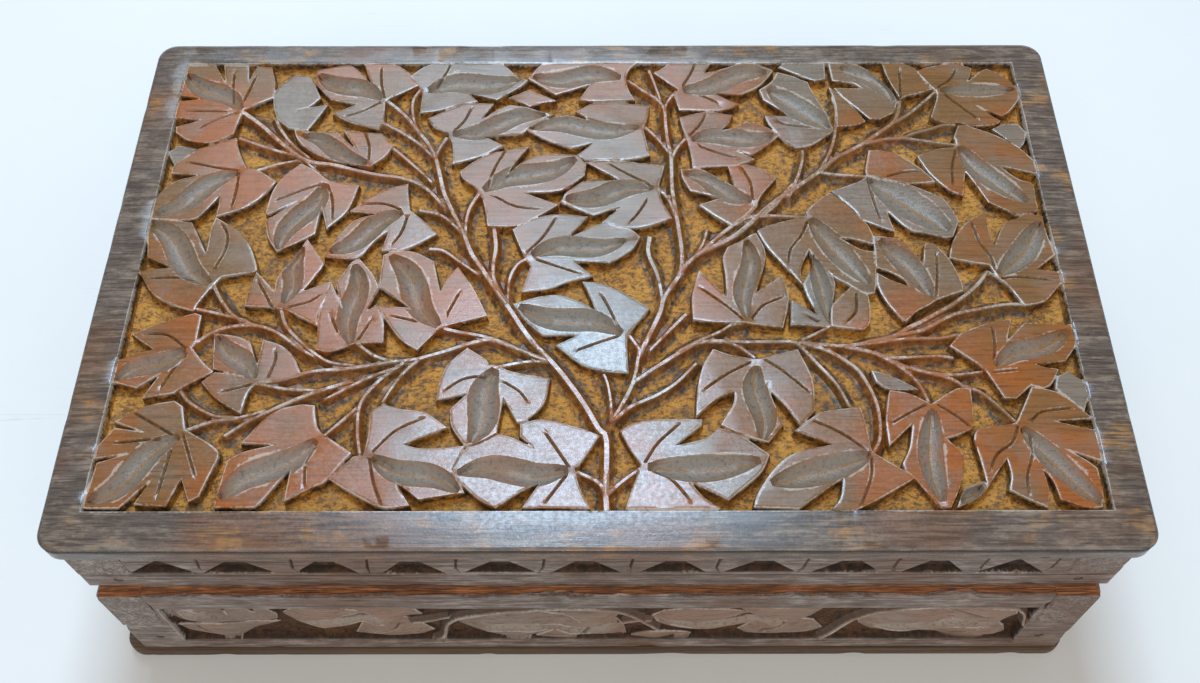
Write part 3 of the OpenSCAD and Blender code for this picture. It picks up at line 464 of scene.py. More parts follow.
         "83.5,-66.5 88.8,-62", 1.4, (), 0.6),
    Leaf("""7.2,-20.8 8.3,-19.4 12.8,-12.9 6,-8.2 0,-5.2 -4.2,-4.9 -2.4,-9 -0.8,-13.6 -5,-11
         -10,-9 -14.5,-9.4 -21.6,-11.8 -18,-17 -13.8,-21 -5,-20.8 -10.6,-23.8 -4,-29.3 1,-31
         7.3,-31.7 7,-22.4""",
         "6,-20.4 -20,-12.4", 3.2, ("4.2,-17 2.4,-12.6 0.6,-8.8", "4.6,-21.4 0,-23 -5.8,-25.4"),
         0.7),
    Leaf("""-19.4,3.2 -20.6,6 -22.6,11.4 -17,14.8 -11.5,16.4 -3,15.8 -8,8.9 -4.5,11 1,13.9 8,11.9
         10.7,9.3 8.4,4.8 2.8,0.8 -6.8,1.6 -1.6,-3.2 -8,-5 -13,-7.1 -19.6,-8 -17.6,0""",
         "-17.5,3.6 7,8.2", 3.0, ("-18.2,4.5 -14.6,9 -11.4,15.2", "-16,2 -11,0 -5,-2.4"), 0.5),
    Leaf("""15.9,25.8 16.8,30 17.6,33.2 9,34.6 2.4,34.9 -4,34.6 -1.6,33 5.4,28.2 -4.6,27.4 -8.6,24
         -10.4,20.6 -5,18 -1.6,16.2 5.4,18.8 0.8,14.1 6.5,12.2 12,12.4 19.3,15.1 16.8,20.5""",
         "14.6,25.4 -9,21.8", 3.1, ("13,27 7.5,30.4 2.4,34", "12.4,20.6 10.4,17 8,13.8"), 0.4),
    Leaf("""37.2,-17.4 30,-17.4 23.6,-16.6 23.7,-9 25.7,-1.4 32.3,-9.6 32.4,-3 32,2.4 33.4,6
         38.5,8.9 41,10 43,3 39.8,-8.4 46.8,-3.2 48.1,-10 46,-18.6 40.5,-17.9""",
         "37.2,-15.8 38.4,8", 2.6, ("36,-16.5 32,-12.4 25.6,-6.8",
         "38.6,-15.6 41.6,-12 46.6,-9.6")),
    Leaf("""54.6,15.5 52.8,15.2 44,12.5 41.3,10.8 44,5 50,-3.5 51.7,-5.8 51.9,-0.8 54.4,4.9
         59.6,-3.1 63.3,-5.8 67.8,-9 70,-8.5 71,-3.1 71,4.4 67.8,5.1 62.7,8.7 66,8.4 71.5,6.7
         71.7,8.7 70.5,12.8 68.3,15.8 65.5,20 61.7,23.3 60.1,22.4 56.9,19.6 54.4,16.9""",
         "55.5,14.9 62.5,3.5 69.2,-5.6", 3.2, ("54.6,13.7 52.8,9.6 49.6,5 48.7,0.5",), 0.2),
    Leaf("""41.6,19.6 43.4,23 47.4,28.2 44.5,31 40.5,33.2 34.9,32.7 36.1,25.9 31,29.8 27.4,31.9
         22,32 22.4,28.4 24.2,24.2 32.6,21.9 26.4,19.4 30.5,15.8 35,12.6 38.2,15.8""",
         "40.6,20.8 23,30.6", 3.0, ("40.8,21.5 40.5,27 38.2,32.6",)),
    Leaf("""58,-18.3 58.5,-13.2 60.1,-10.8 64.2,-6.5 67.8,-9 68.3,-10.8 67.8,-17.2 66,-19.5
         60.5,-18.8""",
         "", 0.0, ("65.1,-9 64.6,-14 61.9,-17.4",)),
    Leaf("""57.8,-18.3 57.4,-18.4 48,-17.9 48.7,-10.6 54.9,-15 52.8,-9.5 52,-5.8 55.1,0.5 54.6,4.7
         57.4,0.5 59.6,-3.5 60.1,-6.7 58.6,-13""",
         "58,-17.6 57.1,-10 55.2,3", 2.2, ("54.6,-17 51.9,-15",), 0.6),
    Leaf("""85,-10.8 83.5,-12 80,-14 76.9,-17 76,-16.7 72.8,-11.7 71,-6.7 71.2,-2.4 75,-4.9
         79,-6.5 77.4,-4 73.3,-1.5 71.2,-0.8 71.5,9.2 77.8,8.3 80.5,5.5 83.4,0.3 84.6,6.5 86.9,6.7
         89.6,2.8 91,-0.4 92.4,-5.4 92.4,-7.9 86.9,-9.9""",
         "84.6,-9.9 80,-1 73,8", 3.0, ("87.1,2.8 86.5,-3.1 85.4,-9.6",), 0.3),
    Leaf("""72,29.3 70.5,27.9 65.5,25.6 61.9,24.3 67.4,18.3 68.7,15.1 74.2,12.4 77.4,11 75.9,18
         81,11.7 85.1,10.5 90.5,8.7 92.4,9.2 94.6,14.2 93.7,16.9 91.9,21 89.6,22.8 83.7,26
         81.8,26.4""",
         "72.8,28.3 82.5,19.5 92,11.2", 4.4, ("72.1,28.4 73,21.1 74.2,14.6",), 0.7),
    Leaf("""72,29.7 71.9,31.1 73.5,38.1 77.8,37.9 80.5,37 86,32.5 88.7,29.3 90.1,27 81.9,26.7""",
         "", 0.0, ("77.8,29.3 82.4,30.6 87,30.8",)),
    Leaf("""102.3,-4.6 100.4,-0.1 95.4,0.8 90.4,2.1 91.3,5.5 93.1,9.2 96.7,13.7 99.9,15.8
         102.2,16.9 102,11 102.6,5.6 106.3,13 109.9,15.1 113.1,16.7 117,16.2 117,11 117.9,3.3
         114,0.1 112.1,-1.4 117.9,-2.2 117.9,-5.4 113.5,-10.4 111.3,-11.7 107.2,-12.6 104,-6.3""",
         "102.4,-3 109.9,4.2 116,14", 3.2, ("97.9,12.8 99,6.9 101,2.8 101.7,-1.3",
         "102.6,-4.2 107.2,-3.8 116.3,-4.7"), 0.2),
    Leaf("""7.4,64.8 8.8,68.6 11,70.6 -14,70.4 -18,68.8 -20.3,65 -12.4,58.7 -2.6,62.6 -5.6,57
         -3.8,56.2 9.8,56.4 8.2,60""",
         "6,65 -19,65.8", 3.2, (), 0.4),
    Leaf("""12,46.8 13.2,50 13.9,55 6,56 -1.5,55.8 -6.6,52.6 -2.8,49.3 -9,51 -16,49.2 -20.6,46.2
         -14,42 -7.8,39.3 -1.8,41.1 -6.2,36.8 -4,35.2 2,35.2 9.5,35.5 13.7,36.6 12.6,43""",
         "11,46.8 -19.4,46.6", 3.2, (), 0.5),
    Leaf("""22.2,60.8 19.4,63.4 15.4,67.2 19.8,70.6 31.6,70.6 29.6,66.8 35,68.4 40,70.4 45.5,69.8
         49.4,67.6 45,61.8 39.6,58.6 31.8,59.3 38.9,55 34,52.8 22.2,53 21.2,58""",
         "23.4,60.8 47.6,67.2", 3.2, ("23.6,62.4 26,67 27.2,70.4", "24,59.6 28.6,58.2 33.4,55.4"),
         0.4),
    Leaf("""24,41.8 23,46 22.2,50.2 30,52.3 37,51.2 35.6,48 33.4,45.8 37.4,46.6 41,48.8 46.2,47
         49.4,43.8 46,40.2 41.4,36.9 37,38.4 42.2,35.4 36.4,33.2 25.3,32.2 24.8,38""",
         "25.2,42 48,44", 3.0, ("25.2,44 27.8,47.6 29.6,51.6", "27.6,39.6 32,37.6 37,36"), 0.4),
    Leaf("""64.6,46.1 63.7,44.7 58.3,40.6 53.7,39.5 50.5,42.5 46.9,47.9 46,50.8 52.8,50.9
         48.7,54.3 46,56.5 45,60.2 48.7,63.4 50.5,67 55.1,65.3 58.9,63.2 59.8,60 61.4,56
         63.5,50.6""",
         "64,46.8 56,53 47.5,61", 3.6, ("49.6,48.6 52.8,47.5 62.6,46.2",), 0.6),
    Leaf("65.6,46.6 66,54 64.7,61.3 67.8,57.9 70.5,54.3 73.8,48.8 71,47.4", "", 0.0, ()),
    Leaf("""83.5,55.8 82.4,60 78.7,66 75,69.3 71.9,70.6 65.5,70.6 65.6,68.4 66,63.8 71.5,62.9
         74.2,60.8 66.2,61 67.8,58.3 70.8,54.7 75,49.7 77.8,49.5 81.9,52""",
         "82.8,56.4 78,64 68.7,69.3", 3.0, (), 0.4),
    Leaf("""84.4,56.9 82,64 80.8,70.4 86,70.6 90,68.5 92,63.5 93.7,60.6 90,59.2 87,58.3""",
         "", 0.0, ("84.6,57 85,62 85.5,68",)),
    Leaf("""94.9,60 93.8,61.1 90.4,67.2 93.5,68.8 99.5,70.4 103.1,70.4 106.3,68.8 105.1,65.2
         104,63.4 105.8,64.7 108.5,67.5 110.8,68.6 114.5,66.1 117.6,62.2 117.6,57 114.5,52.5
         112.2,50.8 108.5,52.5 105.4,54.5 111.4,49 109.5,47.6 103.1,47.2 99.5,48.4 95.8,48.4
         92.2,50.2 94.9,57.5""",
         "96,60 106,60.2 117.2,60.8", 2.3, ("97.6,57.9 101.3,53.8 105.4,49.5",
         "96,61.5 99.6,64.4 101.9,68.6")),
    Leaf("""97.9,40.3 96.9,39.3 91.5,38.4 86.5,36.1 88.7,30.6 91.5,26.5 94.2,23.8 96.9,22.5
         97.8,26.5 98.8,30.9 101,26 103.3,20.3 109.9,16.2 113.5,16.6 116,17.6 116.3,26.1
         112.2,28.4 108.1,32.7 117.9,29.7 117.9,34.3 114.5,38.8 109.5,42.9 103.1,46.1 101.7,47
         99.2,46.8 97.4,42.7""",
         "98.4,39.5 103,31 113.8,20.4", 3.1, ("97.2,38 95.5,32.5 94.6,25.2",), 0.2),
    Leaf("108.5,45.8 112,47.5 116,47.3 117.6,44.5 116.5,41 114.8,38.8 112,42", "", 0.0, (), 1.0),
    Leaf("51,69.3 54.6,67.2 58,65.2 61,63.8 64,64.6 64.4,70.6 54,70.6", "", 0.0, (), 0.9),
)

VINE_STEMS: tuple[Stem, ...] = (
    Stem("""2,-68.3 1.8,-63.5 1.9,-50 0,-47 -4,-39.5 -10,-30.5 -17,-22 -22,-14 -27,-6 -30.5,0
         -33,4 -35.5,10.5 -39,18 -41.5,24 -43,30 -44.6,36 -47,41 -50.5,46 -54.5,51.5 -59.5,56.5""",
         1.9, -0.4),
    Stem("1.8,-64 0,-61 -5,-58.2", 1.3),
    Stem("2.2,-64 6,-60.5 10,-57.4", 1.3),
    Stem("3,-45 3,-40 2.2,-34.5 1.3,-32", 1.0, -1.4),
    Stem("-60,48.5 -54,44.5 -49.5,41 -45.5,36.5", 1.3),
    Stem("-50.3,61.5 -52.3,57 -52,51.5 -50.5,46", 1.2),
    Stem("-42,43 -43.8,39 -44.6,36", 1.2),
    Stem("-57,40 -50,33 -45,27.5", 1.2),
    Stem("-99.5,52.5 -93,47 -87,41 -80,35.3 -72,33.5 -62,30.5 -52,28.5 -46,25 -41,19", 1.7, -0.5),
    Stem("-97,32 -93.5,31.5 -88,33.5 -82,35.2", 1.2),
    Stem("-99,43 -92,40 -85,37.5 -80,35.8", 1.3),
    Stem("-90,50 -88,46 -84,40.5 -79,36", 1.2),
    Stem("-73.5,28 -76,31 -79.5,34.5", 1.1),
    Stem("-47.5,18 -42,16.5 -38.5,13.5 -35.5,10", 1.2),
    Stem("-32,24 -34.2,19 -35,14 -34.8,10", 1.3),
    Stem("-44,5.5 -40.5,5 -36,1.5 -31,-2.5", 1.1),
    Stem("-38.5,-19 -33,-20.3 -26,-22 -19,-25.5 -14,-28", 1.3),
    Stem("-27.5,12 -26.8,6 -27.2,0 -26.5,-5 -23,-11.5", 1.5),
    Stem("-18.5,2.4 -21,0.5 -22.8,-4 -23,-11", 1.1),
    Stem("-24.5,-30 -18,-28.6 -13,-28.6", 1.1),
    Stem("""-13,-28 -19,-25.3 -26,-22.3 -31,-23 -38,-25.5 -44,-27.5 -50,-28.3 -55,-26.8
         -59.5,-23.5""",
         1.5),
    Stem("-50,-28.4 -60,-30.2 -70,-31.3 -78,-33.8 -83,-34.2", 1.4),
    Stem("-80,-13 -78,-18 -74,-22.5 -70,-26 -66,-28.5 -60,-29.5", 1.2),
    Stem("-101,-24.5 -97,-20.5 -92,-18.3 -86,-17.8 -80,-20 -74,-24.5 -70,-27", 1.3),
    Stem("-98,-6 -95,-11 -91,-15.5 -86,-17.8", 1.2),
    Stem("-101,-13 -95,-14.5 -88,-16.5", 1.1),
    Stem("-44,-27.8 -48.5,-33 -52,-40", 1.2),
    Stem("-48,-29 -53,-33.5 -57,-39.5 -57.2,-47 -56,-53.5", 1.3),
    Stem("-49,-30 -56,-33 -66,-39", 1.2),
    Stem("-58,-41.5 -64.6,-48.5", 1.2),
    Stem("-60,-34 -68,-36.8 -76,-40.5 -84,-45.3 -88.5,-48.8", 1.3),
    Stem("-83,-34.5 -76,-36 -68,-36.5", 1.1),
    Stem("-97.5,-47.2 -92,-45 -86,-44 -80,-42", 1.3),
    Stem("-101,-36.8 -98,-40 -92,-43.3 -87,-43.8", 1.1),
    Stem("3.5,-44.5 6.5,-39 8.5,-34 9.5,-29 10,-25 8.5,-22.5 7.5,-21", 1.4, -0.5),
    Stem("10,-27 13,-20 15.5,-14 16.5,-10 20,-4 23,1 27,5 34,12 38,15 44,16 54,15.6", 1.7, -0.5),
    Stem("""26,4 36,10 46,20.2 55,27.4 60,31.5 64.2,35.6 68.7,38.4 73.3,41.5 77.8,45.2 81.5,48.4
         83.3,52 84.2,56.1""",
         1.9, -0.4),
    Stem("""20.8,-3 21.5,3 20.8,12 20,20 19.5,26 19.5,36 18.7,42 18.3,48 18,53.5 16,57 12,60.5
         8,64""",
         1.6, -0.5),
    Stem("14,68 15.5,63 17,57", 1.1),
    Stem("21.5,60 19,56 18.3,53.5", 1.1),
    Stem("12.5,47 16,42.5 18.5,38.5", 1.2),
    Stem("23.5,42.5 21,39 20,36", 1.2),
    Stem("15.8,25.5 18.5,21.5 20,16", 1.2),
    Stem("41.5,19.5 39.5,16.5 36,13", 1.2),
    Stem("43,16 47,20 50,24.5 52,27", 1.1),
    Stem("13.2,9.3 12.8,4 15,-3 16,-9.5", 1.6),
    Stem("28.3,11.5 27,7 24,2", 1.0),
    Stem("22,-14.7 19,-18 12.5,-25.5", 1.2),
    Stem("20,-25.5 25,-22.5 30,-20 33,-18 36,-17.3", 1.2),
    Stem("4,-44.5 8,-41 14,-38 19,-34.5 24,-29", 1.3),
    Stem("9,-34 13,-31 20,-26 24,-23.5 28,-22.7 31,-22.8 35,-24.6 38.5,-27.6", 1.4, -0.5),
    Stem("""28,-22.7 38,-22.9 47,-22.8 48.7,-23.2 50.5,-25 54.6,-30.5 57.8,-35 60.1,-40.5 61,-42""",
         1.3),
    Stem("""50.1,-23 55.1,-24.8 59.6,-27.5 63.3,-30.9 65.5,-35.5 66.9,-40.5 67.1,-45.5 66.5,-50
         64.4,-53.9""",
         1.3),
    Stem("61,-24.3 67.4,-25.9 71.5,-28.2 75.5,-31.8 78,-35.5 79.4,-40", 1.3),
    Stem("""70.5,-27.7 75.5,-30.2 80.5,-31.8 86,-33.6 88.3,-35.5 91.9,-37 94.6,-39.5 97.4,-42.7
         99.2,-45.2""",
         1.3),
    Stem("80.5,-31.8 86.5,-32.4 93.7,-31.5", 1.1),
    Stem("68,-26 71.5,-27.3 77.8,-27.3 83.7,-27 87,-27.6", 1.2),
    Stem("50.1,-23 55.1,-23.7 61,-24 67.4,-23.2 73.3,-22.3 80,-22 85,-21.8 89.4,-20.8", 1.4),
    Stem("50.5,-22.3 54,-20.5 57.8,-18.3", 1.1),
    Stem("""66.5,-23.1 73.3,-21.3 77.8,-18.5 80.5,-17.2 85,-14.5 89.6,-11.7 93.7,-8.5 96.9,-5.4
         99.6,-1.9 102.4,-4""",
         1.6, -0.5),
    Stem("73.3,-21.3 80.5,-19.5 86.9,-16 90.1,-14.5 96,-13.3 102.8,-11.9 108,-12", 1.4),
    Stem("73.3,41.1 78.7,42.5 83.3,42.9 86.9,44.7 91.5,46.1 95.1,47.4 98.5,47.4", 1.4),
    Stem("83.3,42.9 89.2,41.8 96,40.6 97.8,40.5", 1.2),
    Stem("81,48 84.6,50.2 89.2,54.3 93.7,58.8 94.9,60", 1.4),
    Stem("59.6,31 63.5,30 67.4,29.7 71.5,29.3", 1.2),
    Stem("50.5,22.5 53.3,28.8 55.1,34.7 55.5,38.4", 1.3),
    Stem("60,32 62.8,37.5 64.6,42.9 65.4,47.5 66,53.8 65.3,57", 1.2, -0.5),
)

PANEL_LEAVES: tuple[Leaf, ...] = (
    Leaf("""-108.3,24 -105.5,21.6 -102,20.8 -95,21 -88,21.6 -82.2,22.4 -81.4,26 -83,29.5
         -79.6,33.4 -87,33.4 -86.5,26.2 -91.2,33.4 -95.6,33.4 -94.3,24.2 -97.5,33.4 -108.3,33.5""",
         "-107,30.5 -97,24", 2.0),
    Leaf("""-108.3,18.6 -106,14.5 -99,9.6 -94.5,9.4 -90,15 -82,19.2 -90,19.9 -103,19.8""",
         "", 0.0, ("-103,18 -96,11",)),
    Leaf("""-80,26 -76,30.5 -72,32.8 -66,30.6 -61,27.5 -64.5,32.8 -55,33 -46,30 -44.5,27 -50,22
         -47,20 -43,14 -46,11.5 -64,10.6 -61,19 -66,15.6 -71,13.5 -76,16 -80,19.5""",
         "-79,22.5 -52,23", 3.0, ("-59,29 -55,25.5", "-52,19 -60,14")),
    Leaf("""-37,21 -30,26.5 -22,29.5 -16,27 -10,24 -16,30 -11,31 0,31 6,27 4,21 6,17 7,9.6 0,9.4
         -17,9.6 -12,13.8 -18,10 -22,8.6 -30,12 -36,18""",
         "-33,17.6 5,18.4", 2.8, ("-10,28 -4,23", "-3,15 -8,11")),
    Leaf("""13,22.5 20,29 24,30.8 31,28.6 38,26 33.5,31.6 39,32.4 50,32.6 57,32 54,25 51,21.5
         55,20 58,14 56,11.5 40,11 36,13.4 40,18.3 34,15.6 28,14 20,16""",
         "13.6,22 52,21.6", 2.6, ("39,29 47,26", "47,21 41,14.5")),
    Leaf("8,9.6 10,11.6 13,13 20,12 24,10 16,9.5"),
    Leaf("""66,23 70,27 78.5,30.5 84,29.4 89,26.5 84,31.3 92,31.6 104,31 105,28 103,25 101.5,20.5
         104,18.6 106,12 101,10 82,10.2 90,15.2 84,12.4 78,10.2 72,12.5 67,17""",
         "67.5,20 104,19.6", 2.8, ("86,30 97,27", "98,18 90,12")),
    Leaf("60,33.4 66,31.5 73,31 68,33.4"),
)

PANEL_STEMS: tuple[Stem, ...] = (
    Stem("""-43,9 -40.5,12 -39,20 -36,25 -28,28.5 -18,31 -8,32 0,31.6 6,29 10,24 12,21 15,16""",
         1.3, -0.5),
    Stem("57,8 60,13 63,21 66,26 72,30.4 80,32.5 88,33.2 97,33 104,32 107,27 108.6,20", 1.3, -0.5),
    Stem("-48,21 -42,23.4 -38,25", 1.0, -1.2),
    Stem("6,21 9.5,22 13,22.4", 1.0, -1.2),
)


# ---------------------------------------------------------------- cutting the relief

MASKS = 8
# A CREST above 0 lightens a stem's crest: rubbed wood with a painted highlight.
# A CREST below 0 is painted shade, darkening the lid's rim and the dents.
GROUND, WALL, EDGE, VEIN, HOLLOW, LINE, TONE, CREST = range(MASKS)

# Where the sheet gets lines of points beside a drawn curve: millimetres to its left for leaves and
# veins, shares of the half width for hollows, and shares of the slope for stems.
LEAF_LINES = (0.75, 0.22, 0.0, -0.45)
VEIN_LINES = (-1.0, -0.45, 0.0, 0.45, 1.0)
HOLLOW_LINES = (-1.0, -0.7, -0.35, 0.35, 0.7, 1.0)
STEM_LINES = (0.0, 0.1, 0.42, 1.0)


@dataclass
class Sheet:
    """A flat face cut into triangles that keep the carving's own lines."""

    outline: np.ndarray
    points: list[np.ndarray] = field(default_factory=list)
    edges: list[tuple[int, int]] = field(default_factory=list)
    count: int = 0

    def line(self, curve: np.ndarray, closed: bool) -> None:
        """Adds a line whose edges the triangles keep.

        Args:
            curve: the line's points.
            closed: whether its last point joins the first.
        """
        start, n = self.count, len(curve)
        self.points.append(curve)
        self.count += n
        self.edges += [(start + i, start + i + 1) for i in range(n - 1)]
        if closed:
            self.edges.append((start + n - 1, start))

    def fill(self, spacing: float, low: Point, high: Point, seed: int) -> None:
        """Fills a rectangle with loose points, except close to those already there.

        Args:
            spacing: the distance between them.
            low: the rectangle's lower left corner.
            high: its upper right corner.
            seed: the seed of their small shifts.
        """
        rng = np.random.default_rng(seed)
        xs = np.arange(low[0] + spacing / 2, high[0], spacing)
        ys = np.arange(low[1] + spacing / 2, high[1], spacing)
        grid = np.stack(np.meshgrid(xs, ys, indexing="ij"), -1).reshape(-1, 2)
        grid += rng.uniform(-0.28, 0.28, grid.shape) * spacing
        cell = spacing * 0.62
        taken = np.floor(np.concatenate(self.points) / cell).astype(int)
        held = set()
        for di in (-1, 0, 1):
            for dj in (-1, 0, 1):
                if abs(di) + abs(dj) < 2:
                    held.update(map(tuple, (taken + (di, dj)).tolist()))
        free = np.array([tuple(c) not in held for c in np.floor(grid / cell).astype(int).tolist()])
        grid = grid[free]
        grid = grid[within(grid, self.outline)]
        self.points.append(grid)
        self.count += len(grid)

    def triangles(self) -> tuple[np.ndarray, np.ndarray]:
        """The sheet's points and its triangles, anticlockwise."""
        flat = [Vector(p) for p in np.concatenate(self.points).tolist()]
        out = delaunay_2d_cdt(flat, self.edges, [], 0, 1e-4)
        points = np.array([tuple(v) for v in out[0]])
        faces = np.array([f for f in out[2] if len(f) == 3])
        middle = points[faces].mean(1)
        faces = faces[within(middle, self.outline)]
        a, b, c = (points[faces[:, k]] for k in range(3))
        turn = (b[:, 0] - a[:, 0]) * (c[:, 1] - a[:, 1]) - (b[:, 1] - a[:, 1]) * (c[:, 0] - a[:, 0])
        faces = faces[np.abs(turn) > 1e-7]
        turn = turn[np.abs(turn) > 1e-7]
        faces[turn < 0] = faces[turn < 0][:, ::-1]
        used = np.unique(faces)
        renumber = np.full(len(points), -1)
        renumber[used] = np.arange(len(used))
        return points[used], renumber[faces]


@dataclass
class Carving:
    """A sunk field with leaves and stems standing in it.

    Skirt is how far a stem's slopes reach past it, sunk how far the leaves lie below the face, dome
    how far their rims fall away, and sill how wide the bevel below the field is.
    """

    low: Point
    high: Point
    leaves: tuple[Leaf, ...]
    stems: tuple[Stem, ...]
    shift: Point = (0.0, 0.0)
    stretch: float = 1.0
    depth: float = 3.0
    spacing: float = 1.15
    seed: int = 5
    skirt: float = 1.5
    sunk: float = 0.0
    dome: float = 0.0
    sill: float = 0.0
    leaf_drop: float = 0.22
    hollow_deep: float = 1.7
    vein_deep: float = 0.55
    rim_width: float = 4.5

    def __post_init__(self) -> None:
        """Draws the motifs' curves once."""
        self.noise = Noise(self.seed)
        self.loops = [self.put(spline(points_of(leaf.outline), 1.0, True)) for leaf in self.leaves]
        self.hollows = [self.put(spline(self.bent(points_of(leaf.hollow), index), 1.0, False, 0.5))
                        if leaf.hollow else None for index, leaf in enumerate(self.leaves)]
        self.veins = [[self.put(spline(points_of(vein), 1.1, False)) for vein in leaf.veins]
                      for leaf in self.leaves]
        self.ridges = [self.put(spline(points_of(stem.line), 1.2, False)) for stem in self.stems]

    def put(self, curve: np.ndarray) -> np.ndarray:
        """A drawn curve on the face."""
        return curve * (self.stretch, 1.0) + self.shift

    @staticmethod
    def bent(line: Line, index: int) -> Line:
        """A straight middle line bent into a slight S, to either side by turns."""
        if len(line) > 2:
            return line
        a, b = np.array(line)
        across = np.array([a[1] - b[1], b[0] - a[0]]) * (0.045 if index % 2 else -0.045)
        bends = tuple(a + (b - a) * 0.3 + across), tuple(a + (b - a) * 0.7 - across)
        return (line[0], *bends, line[1])

    def half(self, index: int, along: np.ndarray) -> np.ndarray:
        """How wide a leaf's hollow is at places along it."""
        return 1.12 * self.leaves[index].half * np.sin(np.pi * np.clip(along, 0.02, 0.98)) ** 0.5

    @staticmethod
    def crest(stem: Stem, along: np.ndarray) -> np.ndarray:
        """Half the width of a stem's crest at places along it."""
        return stem.half * (0.30 - 0.10 * along)

    def mark(self, sheet: Sheet) -> None:
        """Lays the carving's lines on the sheet and fills the field.

        Args:
            sheet: the board's sheet.
        """
        (x0, y0), (x1, y1) = self.low, self.high
        if self.sill:
            sheet.line(spline(((x0, y0 - self.sill), (x1, y0 - self.sill)), 1.4, False), False)
        for gap in (-0.6, 0.0, 0.7):
            corners = ((x0 + gap, y0 + gap), (x1 - gap, y0 + gap), (x1 - gap, y1 - gap),
                       (x0 + gap, y1 - gap))
            sheet.line(spline(corners, 1.3, True), True)
        for index, loop in enumerate(self.loops):
            turn = -1.0 if signed_area(loop) < 0 else 1.0
            for gap in LEAF_LINES:
                sheet.line(beside(loop, gap * turn, True), True)
            spine = self.hollows[index]
            if spine is not None:
                sheet.line(spine, False)
                wide = self.half(index, places(spine))
                for part in HOLLOW_LINES:
                    sheet.line(beside(spine, part * wide, False), False)
            for vein in self.veins[index]:
                for gap in VEIN_LINES:
                    sheet.line(beside(vein, gap, False), False)
        for stem, ridge in zip(self.stems, self.ridges):
            flat = self.crest(stem, places(ridge))
            foot = stem.half + self.skirt
            for part in STEM_LINES:
                for way in (-1.0, 1.0):
                    sheet.line(beside(ridge, way * (flat + part * (foot - flat)), False), False)
        sheet.fill(self.spacing, self.low, self.high, self.seed)

    def cut(self, p: np.ndarray, height: np.ndarray, masks: np.ndarray) -> None:
        """Cuts the carving.

        Args:
            p: the sheet's points.
            height: their heights, which the cut lowers.
            masks: their masks, which the cut fills.
        """
        x, y = p[:, 0], p[:, 1]
        (x0, y0), (x1, y1) = self.low, self.high
        inward = np.minimum(np.minimum(x - x0, x1 - x), np.minimum(y - y0, y1 - y))
        noise = self.noise
        rough = 0.32 * noise.at(x, y, 2.6) + 0.16 * noise.at(x, y, 0.9)
        inside = smooth(-0.05, 0.72, inward)
        floor = (rough - self.depth) * inside
        top = np.full(len(p), -99.0)
        kind = np.zeros((len(p), MASKS))
        for index, (leaf, loop) in enumerate(zip(self.leaves, self.loops)):
            near = self.around(p, loop, 1.4)
            self.cut_leaf(p[near], index, near, top, kind)
        for stem, ridge in zip(self.stems, self.ridges):
            near = self.around(p, ridge, stem.half + self.skirt + 0.4)
            self.cut_stem(p[near], stem, ridge, near, top, kind)
        stands = (top > floor) & (inward > -0.02)
        cut = np.where(stands, np.minimum(top, 0.0), floor)
        ground = np.clip(1 - (cut + self.depth) / 0.9, 0, 1) * (inside > 0.98)
        # The field's own walls carry the WALL mask, which the finish paints dark as painted shade.
        field_wall = np.clip(inside, 0, 1) * ~stands
        edge = np.clip(1 - np.abs(inward), 0, 1)
        active = inward > -0.8
        kind[~stands] = 0
        kind[:, GROUND] = np.maximum(kind[:, GROUND], ground)
        kind[:, WALL] = np.maximum(kind[:, WALL], field_wall)
        if self.sill:
            edge = edge * (y > y0 + 1.0)
        kind[:, EDGE] = np.clip(np.maximum(kind[:, EDGE], edge * np.where(stands, 0.7, 1.0)), 0, 1)
        masks[active] = np.maximum(masks[active], kind[active])
        worn = -0.22 * np.exp(-((inward + 0.1) / 0.3) ** 2) * (inward < 0)
        if self.sill:
            below = y0 - y
            on_sill = (below >= 0) & (below < self.sill) & (x > x0) & (x < x1)
            ramp = 1 - below / self.sill + 0.15 * noise.at(x, y, 5.0)
            worn = np.where(on_sill, -1.3 * np.clip(ramp, 0, 1), worn)
            masks[:, LINE] = np.where(on_sill, np.clip(3 * ramp, 0, 1), masks[:, LINE])
        height += np.where(inward > 0, cut - height * inside, worn)

    @staticmethod
    def around(p: np.ndarray, line: np.ndarray, margin: float) -> np.ndarray:
        """The indices of the points in the line's box, widened by margin."""
        low, high = line.min(0) - margin, line.max(0) + margin
        return np.nonzero(((p > low) & (p < high)).all(1))[0]

    def tilt(self, q: np.ndarray, index: int) -> np.ndarray:
        """How far a leaf's flats lean at points: each side of its middle line by its own way."""
        loop, spine = self.loops[index], self.hollows[index]
        rng = np.random.default_rng(self.seed + 97 * index)
        lean = rng.uniform(-1, 1, (2, 2)) * (0.03, 0.04)
        middle = loop.mean(0)
        a, b = (spine[0], spine[-1]) if spine is not None else (middle, middle + (1.0, 0.0))
        along = (b - a) / (np.linalg.norm(b - a) + 1e-9)
        side = smooth(-1.5, 1.5, (q - a) @ np.array([-along[1], along[0]]))
        both = (q - middle) @ lean.T
        return both[:, 0] * side + both[:, 1] * (1 - side)

